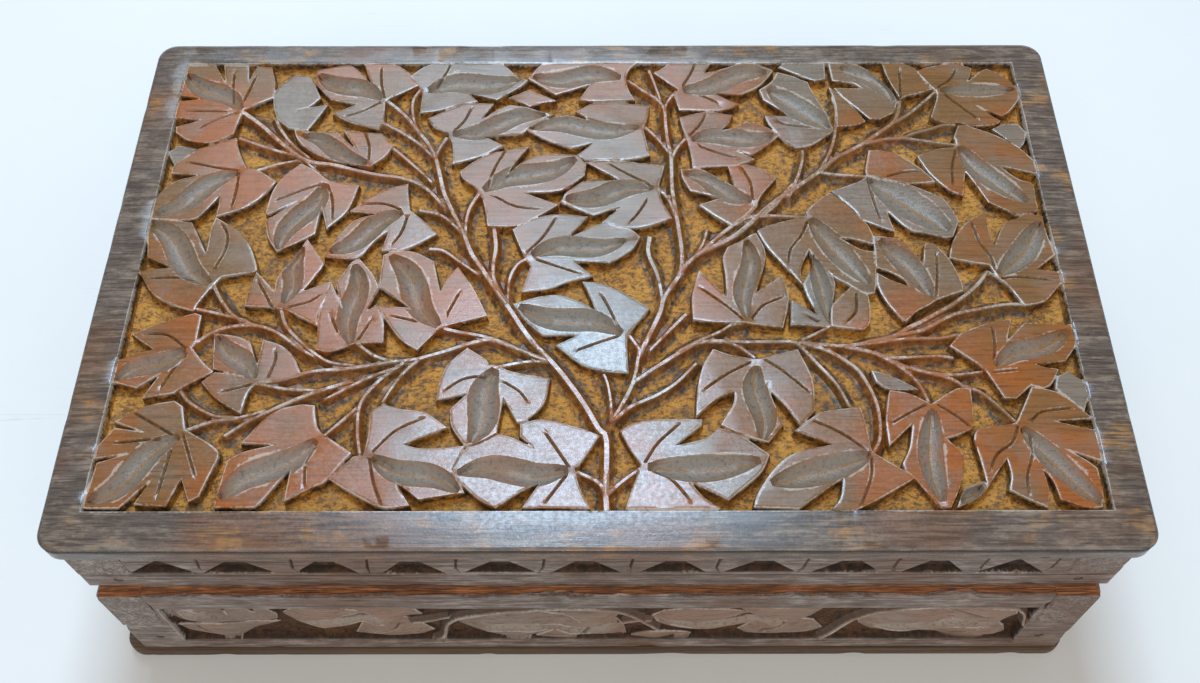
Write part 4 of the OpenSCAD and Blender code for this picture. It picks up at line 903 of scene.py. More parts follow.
    def cut_leaf(self, q: np.ndarray, index: int, near: np.ndarray, top: np.ndarray,
                 kind: np.ndarray) -> None:
        """Raises one leaf where it stands above what is there.

        Args:
            q: the points near the leaf.
            index: the leaf.
            near: the indices of those points.
            top: the heights of all points, which the leaf raises.
            kind: their masks, which the leaf fills.
        """
        if not len(q):
            return
        leaf, noise = self.leaves[index], self.noise
        gap = inset(q, self.loops[index])
        swell = 0.07 * noise.at(q[:, 0], q[:, 1], 11.0)
        swell = swell + self.tilt(q, index)
        chip = np.clip(noise.at(q[:, 0] + 40, q[:, 1], 3.1) - 0.35, 0, 1)
        worn = (0.07 + 0.5 * chip) * (1 - smooth(0.0, 0.24, gap))
        crown = -self.leaf_drop + swell - worn - self.sunk
        uneven = 0.7 + 0.5 * noise.at(q[:, 0] - 9, q[:, 1], 11.0)
        crown -= self.dome * (1 - np.clip(gap / self.rim_width, 0, 1)) * uneven
        crown -= 0.25 * leaf.grey * (0.5 + 0.5 * noise.at(q[:, 0], q[:, 1], 5.0))
        own = np.zeros((len(q), MASKS))
        own[:, EDGE] = 1 - np.abs(gap - 0.05)
        own[:, TONE] = 0.2 + 0.75 * leaf.grey + 0.05 * (index * 7 % 5) / 5
        spine = self.hollows[index]
        if spine is not None:
            off, place = nearest(q, spine, False)
            wide = self.half(index, place)
            scoop = np.clip(1 - off / wide, 0, 1) * (place > 0.005) * (place < 0.995)
            crown -= self.hollow_deep * np.sin(0.5 * np.pi * scoop) * smooth(-0.3, 0.4, gap)
            own[:, HOLLOW] = (scoop > 0) * np.clip(scoop * 4, 0, 1)
            own[:, LINE] = np.clip(1 - off, 0, 1) * (scoop > 0)
            clear = smooth(0.5, 1.5, gap) * smooth(1.0, 2.0, wide)
            own[:, EDGE] = np.maximum(own[:, EDGE], (0.95 - np.abs(off - wide)) * clear)
        for vein in self.veins[index]:
            off, place = nearest(q, vein, False)
            deep = np.clip(1 - off / 0.46, 0, 1) * np.minimum(1, 6 * (1 - place) + 0.3)
            crown -= self.vein_deep * deep
            own[:, VEIN] = np.maximum(own[:, VEIN], deep)
            lip = (0.9 - np.abs(off - 0.5)) * smooth(0.4, 1.2, gap)
            own[:, EDGE] = np.maximum(own[:, EDGE], lip)
        fall = smooth(0.0, 0.5, -gap)
        crown -= (self.depth + 0.6) * fall
        # The leaf's walls carry the WALL mask, which the finish paints dark as painted shade.
        own[:, WALL] = np.clip(-gap / 0.45, 0, 1)
        self.raised(crown, own, near, top, kind)

    def cut_stem(self, q: np.ndarray, stem: Stem, ridge: np.ndarray, near: np.ndarray,
                 top: np.ndarray, kind: np.ndarray) -> None:
        """Raises one stem where it stands above what is there.

        Args:
            q: the points near the stem.
            stem: the stem.
            ridge: its line on the face.
            near: the indices of those points.
            top: the heights of all points, which the stem raises.
            kind: their masks, which the stem fills.
        """
        if not len(q):
            return
        off, place = nearest(q, ridge, False)
        foot = stem.half + self.skirt
        flat = self.crest(stem, place)
        across = np.clip((off - flat) / (foot - flat), 0, 1)
        crest = 0.5 * stem.top + 0.14 * self.noise.at(q[:, 0], q[:, 1], 4.0)
        crest = crest - 0.12 * np.clip(off / flat, 0, 1) ** 2
        crest = crest - (self.depth + 0.3 + 0.5 * stem.top) * (1 - (1 - across) ** 1.7)
        own = np.zeros((len(q), MASKS))
        # The crest takes the light edge colour in the finish: rubbed wood with a painted highlight.
        own[:, CREST] = 1 - smooth(0.0, 0.1, across)
        own[:, EDGE] = 0.84 - np.abs(off - flat)
        own[:, WALL] = 0.19 * smooth(0.0, 0.1, across)
        own[:, GROUND] = 0.75 * smooth(0.1, 0.9, across)
        own[:, TONE] = 0.3
        self.raised(crest, own, near, top, kind)

    @staticmethod
    def raised(crown: np.ndarray, own: np.ndarray, near: np.ndarray, top: np.ndarray,
               kind: np.ndarray) -> None:
        """Takes a motif's heights and masks over where it is the highest."""
        higher = crown > top[near]
        top[near[higher]] = crown[higher]
        kind[near[higher]] = own[higher]


def signed_area(loop: np.ndarray) -> float:
    """The loop's area, positive when it runs anticlockwise."""
    x, y = loop.T
    return float((x * np.roll(y, -1) - np.roll(x, -1) * y).sum() / 2)


@dataclass
class Chips:
    """A row of triangular chip cuts with a tick between each two."""

    tips: tuple[float, ...]
    ticks: tuple[float, ...]
    base_z: float = 50.9
    tip_z: float = 61.0
    clip_z: float = 58.3
    half: float = 8.3
    depth: float = 1.8
    clipped: tuple[float, float] = (-90.0, 90.0)
    groove_z: float = 49.8
    line_z: float = 58.4
    tick_low: float = 54.2
    tick_high: float = 59.4
    tick_lean: float = 0.115
    ends: tuple[float, float] = (-121.0, 121.0)
    seed: int = 9

    def __post_init__(self) -> None:
        """Draws the chips' outlines once."""
        self.noise = Noise(self.seed)
        rng = np.random.default_rng(self.seed)
        self.shapes = []
        for tip in self.tips:
            lean, wide = rng.uniform(-0.7, 0.7), self.half * rng.uniform(0.92, 1.06)
            flat = 2.2 if self.clipped[0] < tip < self.clipped[1] else 0.45
            high = self.clip_z if flat > 1 else self.clip_z + rng.uniform(-0.2, 1.2)
            low = self.base_z + rng.uniform(-0.3, 0.3)
            top = tip + lean
            self.shapes.append(np.array([(tip - wide, low), (tip + wide, low), (top + flat, high),
                                         (top - flat, high)]))

    def mark(self, sheet: Sheet) -> None:
        """Lays the chips' lines on the sheet."""
        for shape in self.shapes:
            loop = spline(tuple(map(tuple, shape)), 1.1, True, 2.0)
            for gap in (-0.35, 0.0, 0.35):
                sheet.line(beside(loop, gap, True), True)
        for tick in self.ticks:
            for gap in (-0.4, 0.0, 0.4):
                line = ((tick + gap, self.tick_low), (tick + gap + 0.6, self.tick_high))
                sheet.line(spline(line, 1.0, False), False)
        for level in (self.groove_z, self.line_z):
            for gap in (-0.4, 0.0, 0.4):
                line = ((self.ends[0], level + gap), (self.ends[1], level + gap))
                sheet.line(spline(line, 1.4, False), False)

    def cut(self, p: np.ndarray, height: np.ndarray, masks: np.ndarray) -> None:
        """Cuts the chips.

        Args:
            p: the sheet's points.
            height: their heights, which the cut lowers.
            masks: their masks, which the cut fills.
        """
        x, z = p[:, 0], p[:, 1]
        for shape in self.shapes:
            near = Carving.around(p, shape, 1.2)
            if not len(near):
                continue
            gap = inset(p[near], shape)
            sink = smooth(-0.1, 0.35, gap)
            slope = 1.15 - 0.5 * (p[near][:, 1] - self.base_z) / (self.tip_z - self.base_z)
            rough = 0.12 * self.noise.at(p[near][:, 0], p[near][:, 1], 1.6)
            drop = self.depth * slope * sink + rough * sink
            height[near] -= np.clip(drop, 0, None)
            # The sunk chip carries the WALL mask, which the finish paints dark as painted shade in
            # the pocket.
            masks[near, WALL] = np.maximum(masks[near, WALL], sink)
            masks[near, EDGE] = np.maximum(masks[near, EDGE], 0.85 - np.abs(gap + 0.1))
        for tick in self.ticks:
            off = np.abs(x - tick - self.tick_lean * (z - self.tick_low))
            deep = np.clip(1 - off / 0.42, 0, 1) * (z > self.tick_low - 0.1)
            deep = deep * (z < self.tick_high + 0.1)
            height -= 0.7 * deep
            masks[:, VEIN] = np.maximum(masks[:, VEIN], deep)
        along = (x > self.ends[0]) * (x < self.ends[1])
        for level, deep in ((self.groove_z, 0.8), (self.line_z, 0.25)):
            free = 1 - masks[:, WALL]
            line = np.clip(1 - np.abs(z - level) / 0.42, 0, 1) * along * free
            height -= deep * line
            masks[:, VEIN] = np.maximum(masks[:, VEIN], line * deep / 0.5)


@dataclass(frozen=True)
class Dents:
    """Small round dents, darkened with painted shade: the seats of nails."""

    places: tuple[Point, ...]
    radius: float = 1.3
    deep: float = 0.45

    def mark(self, sheet: Sheet) -> None:
        """Lays a ring of lines round each dent on the sheet."""
        for x, y in self.places:
            for part in (0.7, 1.0, 1.25):
                r = self.radius * part
                sheet.line(np.array(rounded((x - r, y - r), (x + r, y + r), 0.999 * r, 3)), True)

    def cut(self, p: np.ndarray, height: np.ndarray, masks: np.ndarray) -> None:
        """Presses the dents.

        Args:
            p: the sheet's points.
            height: their heights, which the cut lowers.
            masks: their masks, which the cut fills.
        """
        for x, y in self.places:
            away = np.hypot(p[:, 0] - x, p[:, 1] - y) / self.radius
            sink = 1 - smooth(0.68, 1.02, away)
            height -= self.deep * sink
            # Painted shade: a negative crest darkens the dent.
            masks[:, CREST] = np.where(sink > 0, -sink, masks[:, CREST])


@dataclass
class Board:
    """One wooden board: a carved outer face, worn arrises, sides and a plain back.

    A torn edge is one above torn_above, within torn_span, as deep as torn_deep. The hinge pockets
    end pocket_deep behind the face, where the edge at pocket_z comes back to pocket_edge.
    """

    name: str
    body: str
    material_slot: str
    side: Side
    distance: float
    outline: Line
    thick: float
    replaces: tuple[str, ...]
    cuts: tuple[Carving | Chips | Dents, ...] = ()
    round_off: float = 0.5
    cushion: float = 0.0
    wear: float = 0.5
    coarse: float = 2.4
    seed: int = 3
    rim_wear_highlight: float = 0.8
    rim_painted_shade: float = 0.0
    torn_above: float = 1000.0
    torn_deep: float = 3.0
    torn_span: Point = (-1000.0, 1000.0)
    pocket_z: float = 0.0
    pocket_edge: float = 0.0
    pocket_deep: float = 0.0

    def build(self, outer: bpy.types.Material, inner: bpy.types.Material,
              torn: bpy.types.Material | None = None) -> bpy.types.Object:
        """Makes the board.

        Args:
            outer: the finish of its face and sides.
            inner: the finish of its back.
            torn: the finish of a torn upper edge, on boards that have one.

        Returns:
            The board, riding on its body in place of its solid.
        """
        outline = np.array(self.outline, dtype=float)
        if signed_area(outline) < 0:
            outline = outline[::-1]
        rim = spline(tuple(map(tuple, outline)), 1.6, True, 2.0)
        sheet = Sheet(rim)
        sheet.line(rim, True)
        for gap in (0.35, 0.35 + self.round_off):
            sheet.line(beside(rim, gap, True), True)
        for cut in self.cuts:
            cut.mark(sheet)
        sheet.fill(self.coarse, tuple(rim.min(0)), tuple(rim.max(0)), self.seed)
        points, faces = sheet.triangles()
        height, masks = self.surface(points, rim)
        return self.solid(points, faces, height, masks, [outer, inner, torn or inner])

    def surface(self, points: np.ndarray, rim: np.ndarray) -> tuple[np.ndarray, np.ndarray]:
        """Cuts the outer face.

        Args:
            points: the sheet's points.
            rim: the board's outline.

        Returns:
            The points' heights and their masks.
        """
        noise = Noise(self.seed)
        x, y = points.T
        height = np.zeros(len(points))
        masks = np.zeros((len(points), MASKS))
        inward, _ = nearest(points, rim, True)
        height -= 0.06 * (1 + noise.at(x, y, 14.0)) + 0.005 * (1 + noise.at(x, y, 2.2))
        height -= self.cushion * (1 - smooth(0, 9.0, inward))
        for cut in self.cuts:
            cut.cut(points, height, masks)
        chips = np.clip(noise.at(x + 11, y + 5, 7.0, 7.0) - 0.45, 0, 1) * self.wear * 2.2
        size = self.round_off
        fall = 1 - smooth(-0.25 * size, size + 0.6 + chips, inward)
        height -= (size * 0.9 + chips) * fall ** 1.4
        # A light line along the rim: rubbed wood with a painted highlight.
        rim_mask = np.clip(1 - 0.7 * np.abs(inward - 0.3), 0, 1) * self.rim_wear_highlight
        masks[:, EDGE] = np.maximum(masks[:, EDGE], rim_mask)
        # Painted shade: a dark line just inside the rim, standing for the shade along the arris.
        masks[:, CREST] -= self.rim_painted_shade * (inward < 0.3)
        torn = smooth(self.torn_above - 1.2, self.torn_above - 0.2, y + 0.8 * noise.at(x, y, 4.0))
        torn = torn * (x > self.torn_span[0]) * (x < self.torn_span[1])
        height -= torn * (0.25 + 0.25 * noise.at(x, y, 1.3))
        masks[:, LINE] = np.maximum(masks[:, LINE], torn)
        return np.minimum(height, -0.02), masks

    def levels(self) -> list[float]:
        """How far behind the face each ring of the sides lies."""
        if self.pocket_deep:
            return [1.4, 2.9, self.pocket_deep, self.pocket_deep + 0.02, self.thick - 0.6,
                    self.thick]
        upper = [1.4, 2.9] if self.thick > 8 else [1.4]
        return [*upper, self.thick * 0.5, self.thick - 0.6, self.thick]

    def solid(self, points: np.ndarray, faces: np.ndarray, height: np.ndarray, masks: np.ndarray,
              finishes: list[bpy.types.Material]) -> bpy.types.Object:
        """Closes the face with sides and a back, and makes the piece.

        Args:
            points: the face's points.
            faces: its triangles.
            height: the points' heights.
            masks: their masks.
            finishes: the finishes of the face, the back and a torn edge.

        Returns:
            The piece.
        """
        noise = Noise(self.seed + 17)
        ring = border(faces)
        edge = points[ring]
        inward = beside(edge, 1.0, True) - edge
        levels = self.levels()
        flat, high, mask = [points], [height], [masks]
        sides, previous = [], ring
        sunk = np.abs(edge[:, 1] - self.pocket_z) < 0.01
        middle = np.sign(edge[:, 0]) * BoxSizes().hinge_x
        on_top = (edge[:, 1] > self.torn_above - 0.2) & (edge[:, 0] > self.torn_span[0])
        on_top &= edge[:, 0] < self.torn_span[1]
        for step, level in enumerate(levels):
            dent = 0.03 + 0.05 * (1 + noise.at(edge[:, 0] + 60 * level, edge[:, 1], 3.0))
            ragged = 0.15 * (1 + noise.at(edge[:, 0], edge[:, 1] + 9 * level, 1.1))
            dent = dent + np.where(on_top & (level <= self.torn_deep), ragged, 0.0)
            dent = dent + (0.35 if step == len(levels) - 1 else 0.0)
            own = np.zeros((len(ring), MASKS))
            # The first ring of the sides carries the rim's painted shade on down the side.
            own[:, CREST] = -0.75 * self.rim_painted_shade if step == 0 else 0.0
            moved = edge + inward * dent[:, None]
            if level > self.pocket_deep:
                drawn_in = middle + 0.998 * (edge[:, 0] - middle)
                closed = np.column_stack([drawn_in, np.full(len(edge), self.pocket_edge)])
                moved[sunk] = closed[sunk]
            flat.append(moved)
            high.append(np.full(len(ring), -level))
            mask.append(own)
            now = np.arange(len(ring)) + len(points) + step * len(ring)
            sides += strip(previous, now)
            previous = now
        placed = Face.of(self.side, self.distance).place(np.concatenate(flat), np.concatenate(high))
        shapes = [*map(tuple, faces.tolist()), *sides, tuple(previous[::-1].tolist())]
        mesh = bpy.data.meshes.new(self.name)
        mesh.from_pydata(placed.tolist(), [], shapes)
        for finish in finishes:
            mesh.materials.append(finish)
        slots = np.zeros(len(shapes), dtype=int)
        slots[-1] = 1
        top = on_top & np.roll(on_top, -1)
        for step, level in enumerate(levels):
            first = len(faces) + step * len(ring)
            slots[first:first + len(ring)] = np.where(top & (level <= self.torn_deep), 2, 0)
        mesh.polygons.foreach_set("material_index", slots)
        store_masks(mesh, np.concatenate(mask))
        mesh.update()
        piece = bpy.data.objects.new(self.name, mesh)
        bpy.context.collection.objects.link(piece)
        shade(mesh, 24.0)
        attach(piece, self.body)
        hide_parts(*self.replaces)
        LOG.info("%s: %d faces", self.name, len(mesh.polygons))
        return piece


def strip(upper: np.ndarray, lower: np.ndarray) -> list[tuple[int, ...]]:
    """The four-sided faces between two rings of points, given by their numbers."""
    after = zip(np.roll(lower, -1).tolist(), np.roll(upper, -1).tolist())
    return [(a, b, c, d) for a, b, (c, d) in zip(upper.tolist(), lower.tolist(), after)]


def border(faces: np.ndarray) -> np.ndarray:
    """The ring of points round a sheet of triangles, in order."""
    edges = np.concatenate([faces[:, [0, 1]], faces[:, [1, 2]], faces[:, [2, 0]]])
    keys = {tuple(e) for e in edges.tolist()}
    after = {a: b for a, b in keys if (b, a) not in keys}
    start = next(iter(after))
    ring = [start]
    while after[ring[-1]] != start:
        ring.append(after[ring[-1]])
    return np.array(ring)


def store_masks(mesh: bpy.types.Mesh, masks: np.ndarray) -> None:
    """Stores the eight masks in two colour attributes of the mesh."""
    for name, part in (("carve_a", masks[:, :4]), ("carve_b", masks[:, 4:])):
        layer = mesh.color_attributes.new(name, "FLOAT_COLOR", "POINT")
        layer.data.foreach_set("color", np.ascontiguousarray(part, dtype=np.float32).ravel())


def shade(mesh: bpy.types.Mesh, angle: float) -> None:
    """Shades a mesh smooth except across edges sharper than the angle, in degrees."""
    mesh.shade_smooth()
    mesh.set_sharp_from_angle(angle=math.radians(angle))


# ---------------------------------------------------------------- finishes

Colour = tuple[float, float, float]
Socket = bpy.types.NodeSocket


class Web:
    """Lays the nodes of one tree and joins them."""

    def __init__(self, tree: bpy.types.NodeTree) -> None:
        """Keeps the tree."""
        self.tree = tree

    def add(self, kind: str, **settings: object) -> bpy.types.Node:
        """A new node with its settings."""
        node = self.tree.nodes.new(kind)
        for name, value in settings.items():
            setattr(node, name, value)
        return node

    def put(self, value: object, socket: Socket) -> None:
        """Joins a socket to another, or writes a plain value to it."""
        if isinstance(value, bpy.types.NodeSocket):
            self.tree.links.new(value, socket)
        elif isinstance(value, tuple) and len(value) == 3 and socket.type == "RGBA":
            socket.default_value = (*value, 1.0)
        else:
            socket.default_value = value

    def math(self, kind: str, a: object, b: object = 0.0, clamp: bool = False) -> Socket:
        """A sum, product or other reckoning of two values."""
        node = self.add("ShaderNodeMath", operation=kind, use_clamp=clamp)
        self.put(a, node.inputs[0])
        self.put(b, node.inputs[1])
        return node.outputs[0]

    def mix(self, part: object, a: object, b: object, kind: str = "MIX") -> Socket:
        """Two colours mixed by part."""
        node = self.add("ShaderNodeMix", data_type="RGBA", blend_type=kind)
        self.put(part, node.inputs["Factor"])
        self.put(a, node.inputs["A"])
        self.put(b, node.inputs["B"])
        return node.outputs["Result"]

    def step(self, value: object, low: float, high: float, to_low: float = 0.0,
             to_high: float = 1.0) -> Socket:
        """A value carried smoothly from one span to another."""
        node = self.add("ShaderNodeMapRange", interpolation_type="SMOOTHSTEP")
        for socket, number in zip(node.inputs, (value, low, high, to_low, to_high)):
            self.put(number, socket)
        return node.outputs[0]

    def noise(self, place: object, scale: float, detail: float = 3.0, rough: float = 0.55,
              twist: float = 0.0) -> Socket:
        """A cloud of noise."""
        node = self.add("ShaderNodeTexNoise")
        self.put(place, node.inputs["Vector"])
        for name, number in (("Scale", scale), ("Detail", detail), ("Roughness", rough),
                             ("Distortion", twist)):
            node.inputs[name].default_value = number
        return node.outputs["Fac"]

    def stretched(self, place: object, scale: Point3, turn: Point3 = (0.0, 0.0, 0.0)) -> Socket:
        """A place turned about the middle and scaled along each axis."""
        node = self.add("ShaderNodeMapping")
        self.put(place, node.inputs["Vector"])
        node.inputs["Scale"].default_value = scale
        node.inputs["Rotation"].default_value = turn
        return node.outputs[0]

    def bump(self, shader: bpy.types.Node, height: Socket, distance: float,
             strength: float = 1.0) -> None:
        """Joins a height to the shader's normal."""
        node = self.add("ShaderNodeBump")
        node.inputs["Strength"].default_value = strength
        node.inputs["Distance"].default_value = distance
        self.put(height, node.inputs["Height"])
        self.put(node.outputs[0], shader.inputs["Normal"])


def begin(name: str) -> tuple[bpy.types.Material, Web, bpy.types.Node, Socket]:
    """A new material: itself, its web, its shader and the place on the piece."""
    material = bpy.data.materials.new(name)
    material.use_nodes = True
    web = Web(material.node_tree)
    place = web.add("ShaderNodeTexCoord").outputs["Object"]
    return material, web, material.node_tree.nodes["Principled BSDF"], place


def group(name: str, inputs: tuple[tuple[str, str], ...], outputs: tuple[tuple[str, str], ...],
          ) -> tuple[bpy.types.NodeTree, Web, dict[str, Socket], bpy.types.Node]:
    """Starts a shader node group.

    Args:
        name: what it is called.
        inputs: its inputs, each a name and one of Float, Vector or Color.
        outputs: its outputs, in the same way.

    Returns:
        The tree, its web, its inputs by name, and its output node.
    """
    tree = bpy.data.node_groups.new(name, "ShaderNodeTree")
    for (label, kind), way in [(i, "INPUT") for i in inputs] + [(o, "OUTPUT") for o in outputs]:
        tree.interface.new_socket(name=label, in_out=way, socket_type="NodeSocket" + kind)
    web = Web(tree)
    start, end = web.add("NodeGroupInput"), web.add("NodeGroupOutput")
    return tree, web, {socket.name: socket for socket in start.outputs if socket.name}, end


class Groups:
    """The effects that several finishes share."""

    def __init__(self) -> None:
        """Makes each group once."""
        self.grain = self.make_grain()
        self.wear = self.make_wear()

    @staticmethod
    def make_grain() -> bpy.types.NodeTree:
        """Wood grain along the first axis of Place: fibres, pores and slow bands."""
        tree, web, inside, end = group("wood grain", (("Place", "Vector"),),
                                       (("Fibre", "Float"), ("Pores", "Float"), ("Bands", "Float")))
        place = inside["Place"]
        drift = web.noise(web.stretched(place, (6, 14, 14)), 1.0, 2.0)
        fibre = web.noise(web.stretched(place, (70, 1500, 1500)), 1.0, 4.0, 0.6, 0.3)
        pores = web.noise(web.stretched(place, (160, 2600, 2600)), 1.0, 2.0, 0.5)
        wave = web.add("ShaderNodeTexWave", wave_type="BANDS", bands_direction="Y")
        web.put(web.stretched(place, (2.5, 60, 60)), wave.inputs["Vector"])
        wave.inputs["Distortion"].default_value = 7.0
        wave.inputs["Detail"].default_value = 3.0
        bands = web.math("MULTIPLY", wave.outputs["Fac"], web.step(drift, 0.3, 0.7, 0.4, 1.0))
        web.put(fibre, end.inputs["Fibre"])
        web.put(web.step(pores, 0.6, 0.72), end.inputs["Pores"])
        web.put(bands, end.inputs["Bands"])
        return tree

    @staticmethod
    def make_wear() -> bpy.types.NodeTree:
        """Breaks an edge mask into worn and unworn lengths; the worn ones take a light colour,
        rubbed wood with a painted highlight.
        """
        tree, web, inside, end = group("worn edges", (("Edge", "Float"), ("Place", "Vector"),
                                                      ("Reach", "Float")), (("Worn", "Float"),))
        long = web.noise(inside["Place"], 110.0, 3.0)
        fine = web.noise(inside["Place"], 1300.0, 3.0)
        ragged = web.math("ADD", inside["Edge"], web.step(fine, 0.3, 0.7, -0.1, 0.1))
        line = web.step(web.math("ADD", ragged, web.step(long, 0.3, 0.7, -0.22, 0.06)), 0.66, 0.9)
        web.put(web.math("MULTIPLY", line, inside["Reach"], True), end.inputs["Worn"])
        return tree

    def use(self, web: Web, tree: bpy.types.NodeTree, **inputs: object) -> bpy.types.Node:
        """Puts a group into a material's tree."""
        node = web.add("ShaderNodeGroup")
        node.node_tree = tree
        for name, value in inputs.items():
            web.put(value, node.inputs[name])
        return node


@dataclass(frozen=True)
class CarvedWood:
    """Old waxed walnut, carved: each part of the carving has its own tone, with painted shade in
    its walls, cuts and rim and painted highlights on its edges.
    """

    name: str
    face: Colour = (0.125, 0.092, 0.074)
    face_light: Colour = (0.25, 0.188, 0.14)
    face_brown: Colour = (0.21, 0.095, 0.045)
    red: Colour = (0.34, 0.095, 0.012)
    brown: Colour = (0.21, 0.10, 0.03)
    grey: Colour = (0.21, 0.18, 0.145)
    ground: Colour = (0.50, 0.215, 0.028)
    ground_light: Colour = (0.70, 0.35, 0.055)
    ground_dark: Colour = (0.10, 0.043, 0.012)
    # Near black: painted shade on the carving's walls, chips, cuts and rim; also the dark of pores,
    # fibres and dust.
    wall: Colour = (0.03, 0.017, 0.009)
    slope: Colour = (0.25, 0.115, 0.02)
    # Light: rubbed edges and stem crests, bare wood with a painted highlight.
    worn: Colour = (0.56, 0.50, 0.44)
    reach: float = 0.58
    gloss: float = 0.52
    turn: Point3 = (0.0, 0.0, 0.0)
    roughness: float = 0.23

    def make(self, groups: Groups) -> bpy.types.Material:
        """Makes the material.

        Args:
            groups: the shared effects.

        Returns:
            The material, which reads the masks of the carving.
        """
        material, web, shader, place = begin(self.name)
        turned = web.stretched(place, (1.0, 1.0, 1.0), self.turn)
        grain = groups.use(web, groups.grain, Place=turned)
        ground, wall, edge, vein, hollow, line, tone, crest = self.masks(web)
        patch = web.noise(place, 85.0, 4.0, 0.6)
        fine = web.noise(place, 900.0, 4.0, 0.65)
        speck = web.noise(place, 1500.0, 3.0, 0.7)
        fibre = grain.outputs["Fibre"]

        colour = self.flats(web, place, turned, patch, fibre, tone)
        colour = web.mix(web.math("MULTIPLY", grain.outputs["Pores"], 0.45), colour, self.wall)
        # The hollows are greyed: the burnished wood's tone with a painted sheen.
        hollow_grey_sheen = web.math("MULTIPLY", hollow, web.step(patch, 0.3, 0.6, 0.45, 0.8))
        colour = web.mix(hollow_grey_sheen, colour, self.grey)
        dusty = web.math("MULTIPLY", hollow, web.step(fine, 0.5, 0.68, 0.0, 0.45))
        colour = web.mix(dusty, colour, self.wall)
        gritty = web.step(fine, 0.3, 0.6, 0.25, 0.9)
        crease = web.math("MULTIPLY", web.step(line, 0.55, 0.85), gritty)
        colour = web.mix(crease, colour, self.slope)
        # Walls and slopes: ochre broken with near black, the black a painted shade.
        slope = web.mix(web.step(patch, 0.46, 0.62), self.slope, self.ground)
        slope = web.mix(web.step(web.noise(place, 520.0, 4.0, 0.7), 0.4, 0.66), self.wall, slope)
        colour = web.mix(web.step(wall, 0.04, 0.3), colour, slope)
        soil = self.soil(web, place, patch, fine, speck)
        colour = web.mix(web.step(ground, 0.5, 0.95), colour, soil)
        # Veins, ticks and grooves: darkened in the cut as painted shade.
        cut = web.mix(web.step(fine, 0.4, 0.7), self.wall, self.slope)
        colour = web.mix(web.math("MULTIPLY", vein, 0.7), colour, cut)
        # Stem crests lightened: rubbed wood with a painted highlight.
        colour = web.mix(web.math("MULTIPLY", crest, 0.1, True), colour, self.worn)
        # Painted shade: a negative crest darkens the lid's rim and the dents toward near black.
        painted_darkening = web.step(crest, -0.9, -0.1, 0.85, 0.0)
        colour = web.mix(painted_darkening, colour, self.wall)
        # Worn lengths of the edges take the light colour: rubbed wood with a painted highlight.
        wear = groups.use(web, groups.wear, Edge=edge, Place=place, Reach=self.reach)
        worn = web.mix(wear.outputs["Worn"], colour, self.worn)
        web.put(worn, shader.inputs["Base Color"])

        matt = web.math("MAXIMUM", ground, web.math("MULTIPLY", wall, 0.8))
        matt = web.math("MAXIMUM", matt, web.math("MULTIPLY", hollow, 0.3))
        matt = web.math("MAXIMUM", matt, web.step(crest, -0.9, -0.1, 1.0, 0.0))
        rough = web.step(fine, 0.25, 0.75, self.roughness - 0.07, self.roughness + 0.1)
        rough = web.math("ADD", web.math("MULTIPLY", matt, 0.45), rough, True)
        web.put(rough, shader.inputs["Roughness"])
        shader.inputs["Specular IOR Level"].default_value = self.gloss
        shader.inputs["Specular Tint"].default_value = (0.84, 0.93, 1.0, 1.0)
        rise = web.math("MULTIPLY", speck, web.math("ADD", web.math("MULTIPLY", matt, 4.5), 0.16))
        web.bump(shader, web.math("ADD", rise, web.math("MULTIPLY", fibre, 0.18)), 0.0001)
        return material

    @staticmethod
    def masks(web: Web) -> list[Socket]:
        """Reads the eight masks from the mesh."""
        out = []
        for layer in ("carve_a", "carve_b"):
            read = web.add("ShaderNodeAttribute", attribute_name=layer)
            split = web.add("ShaderNodeSeparateColor")
            web.put(read.outputs["Color"], split.inputs[0])
            out += [*split.outputs, read.outputs["Alpha"]]
        return out

    def flats(self, web: Web, place: Socket, turned: Socket, patch: Socket, fibre: Socket,
              tone: Socket) -> Socket:
        """The colour of the uncut surface and of the leaves' flats.

        Args:
            web: the material's web.
            place: the place on the piece.
            turned: the same, turned along the grain.
            patch: a cloud of patches.
            fibre: the grain's fibres.
            tone: the mask that is 0 off the leaves, and higher on the greyer ones.

        Returns:
            The colour.
        """
        blotch = web.noise(place, 24.0, 3.0, 0.55)
        mottle = web.noise(web.stretched(turned, (160, 420, 420)), 1.0, 4.0, 0.7)
        border = web.mix(web.step(mottle, 0.42, 0.66), self.face, self.face_light)
        border = web.mix(web.step(blotch, 0.45, 0.66, 0.0, 0.7), border, self.face_brown)
        stain = web.step(fibre, 0.42, 0.6, 0.5, 0.1)
        stain = web.math("MULTIPLY", web.step(patch, 0.54, 0.68), stain)
        border = web.mix(stain, border, self.ground)
        border = web.mix(web.step(fibre, 0.44, 0.6, 0.0, 0.55), border, self.wall)
        leaf = web.mix(web.step(blotch, 0.36, 0.56), self.brown, self.red)
        leaf = web.mix(web.step(patch, 0.45, 0.7, 0.0, 0.4), leaf, self.grey)
        leaf = web.mix(web.step(tone, 0.25, 0.9, 0.0, 0.85), leaf, self.grey)
        leaf = web.mix(web.step(fibre, 0.42, 0.7, 0.0, 0.35), leaf, self.wall)
        return web.mix(web.step(tone, 0.04, 0.14), border, leaf)

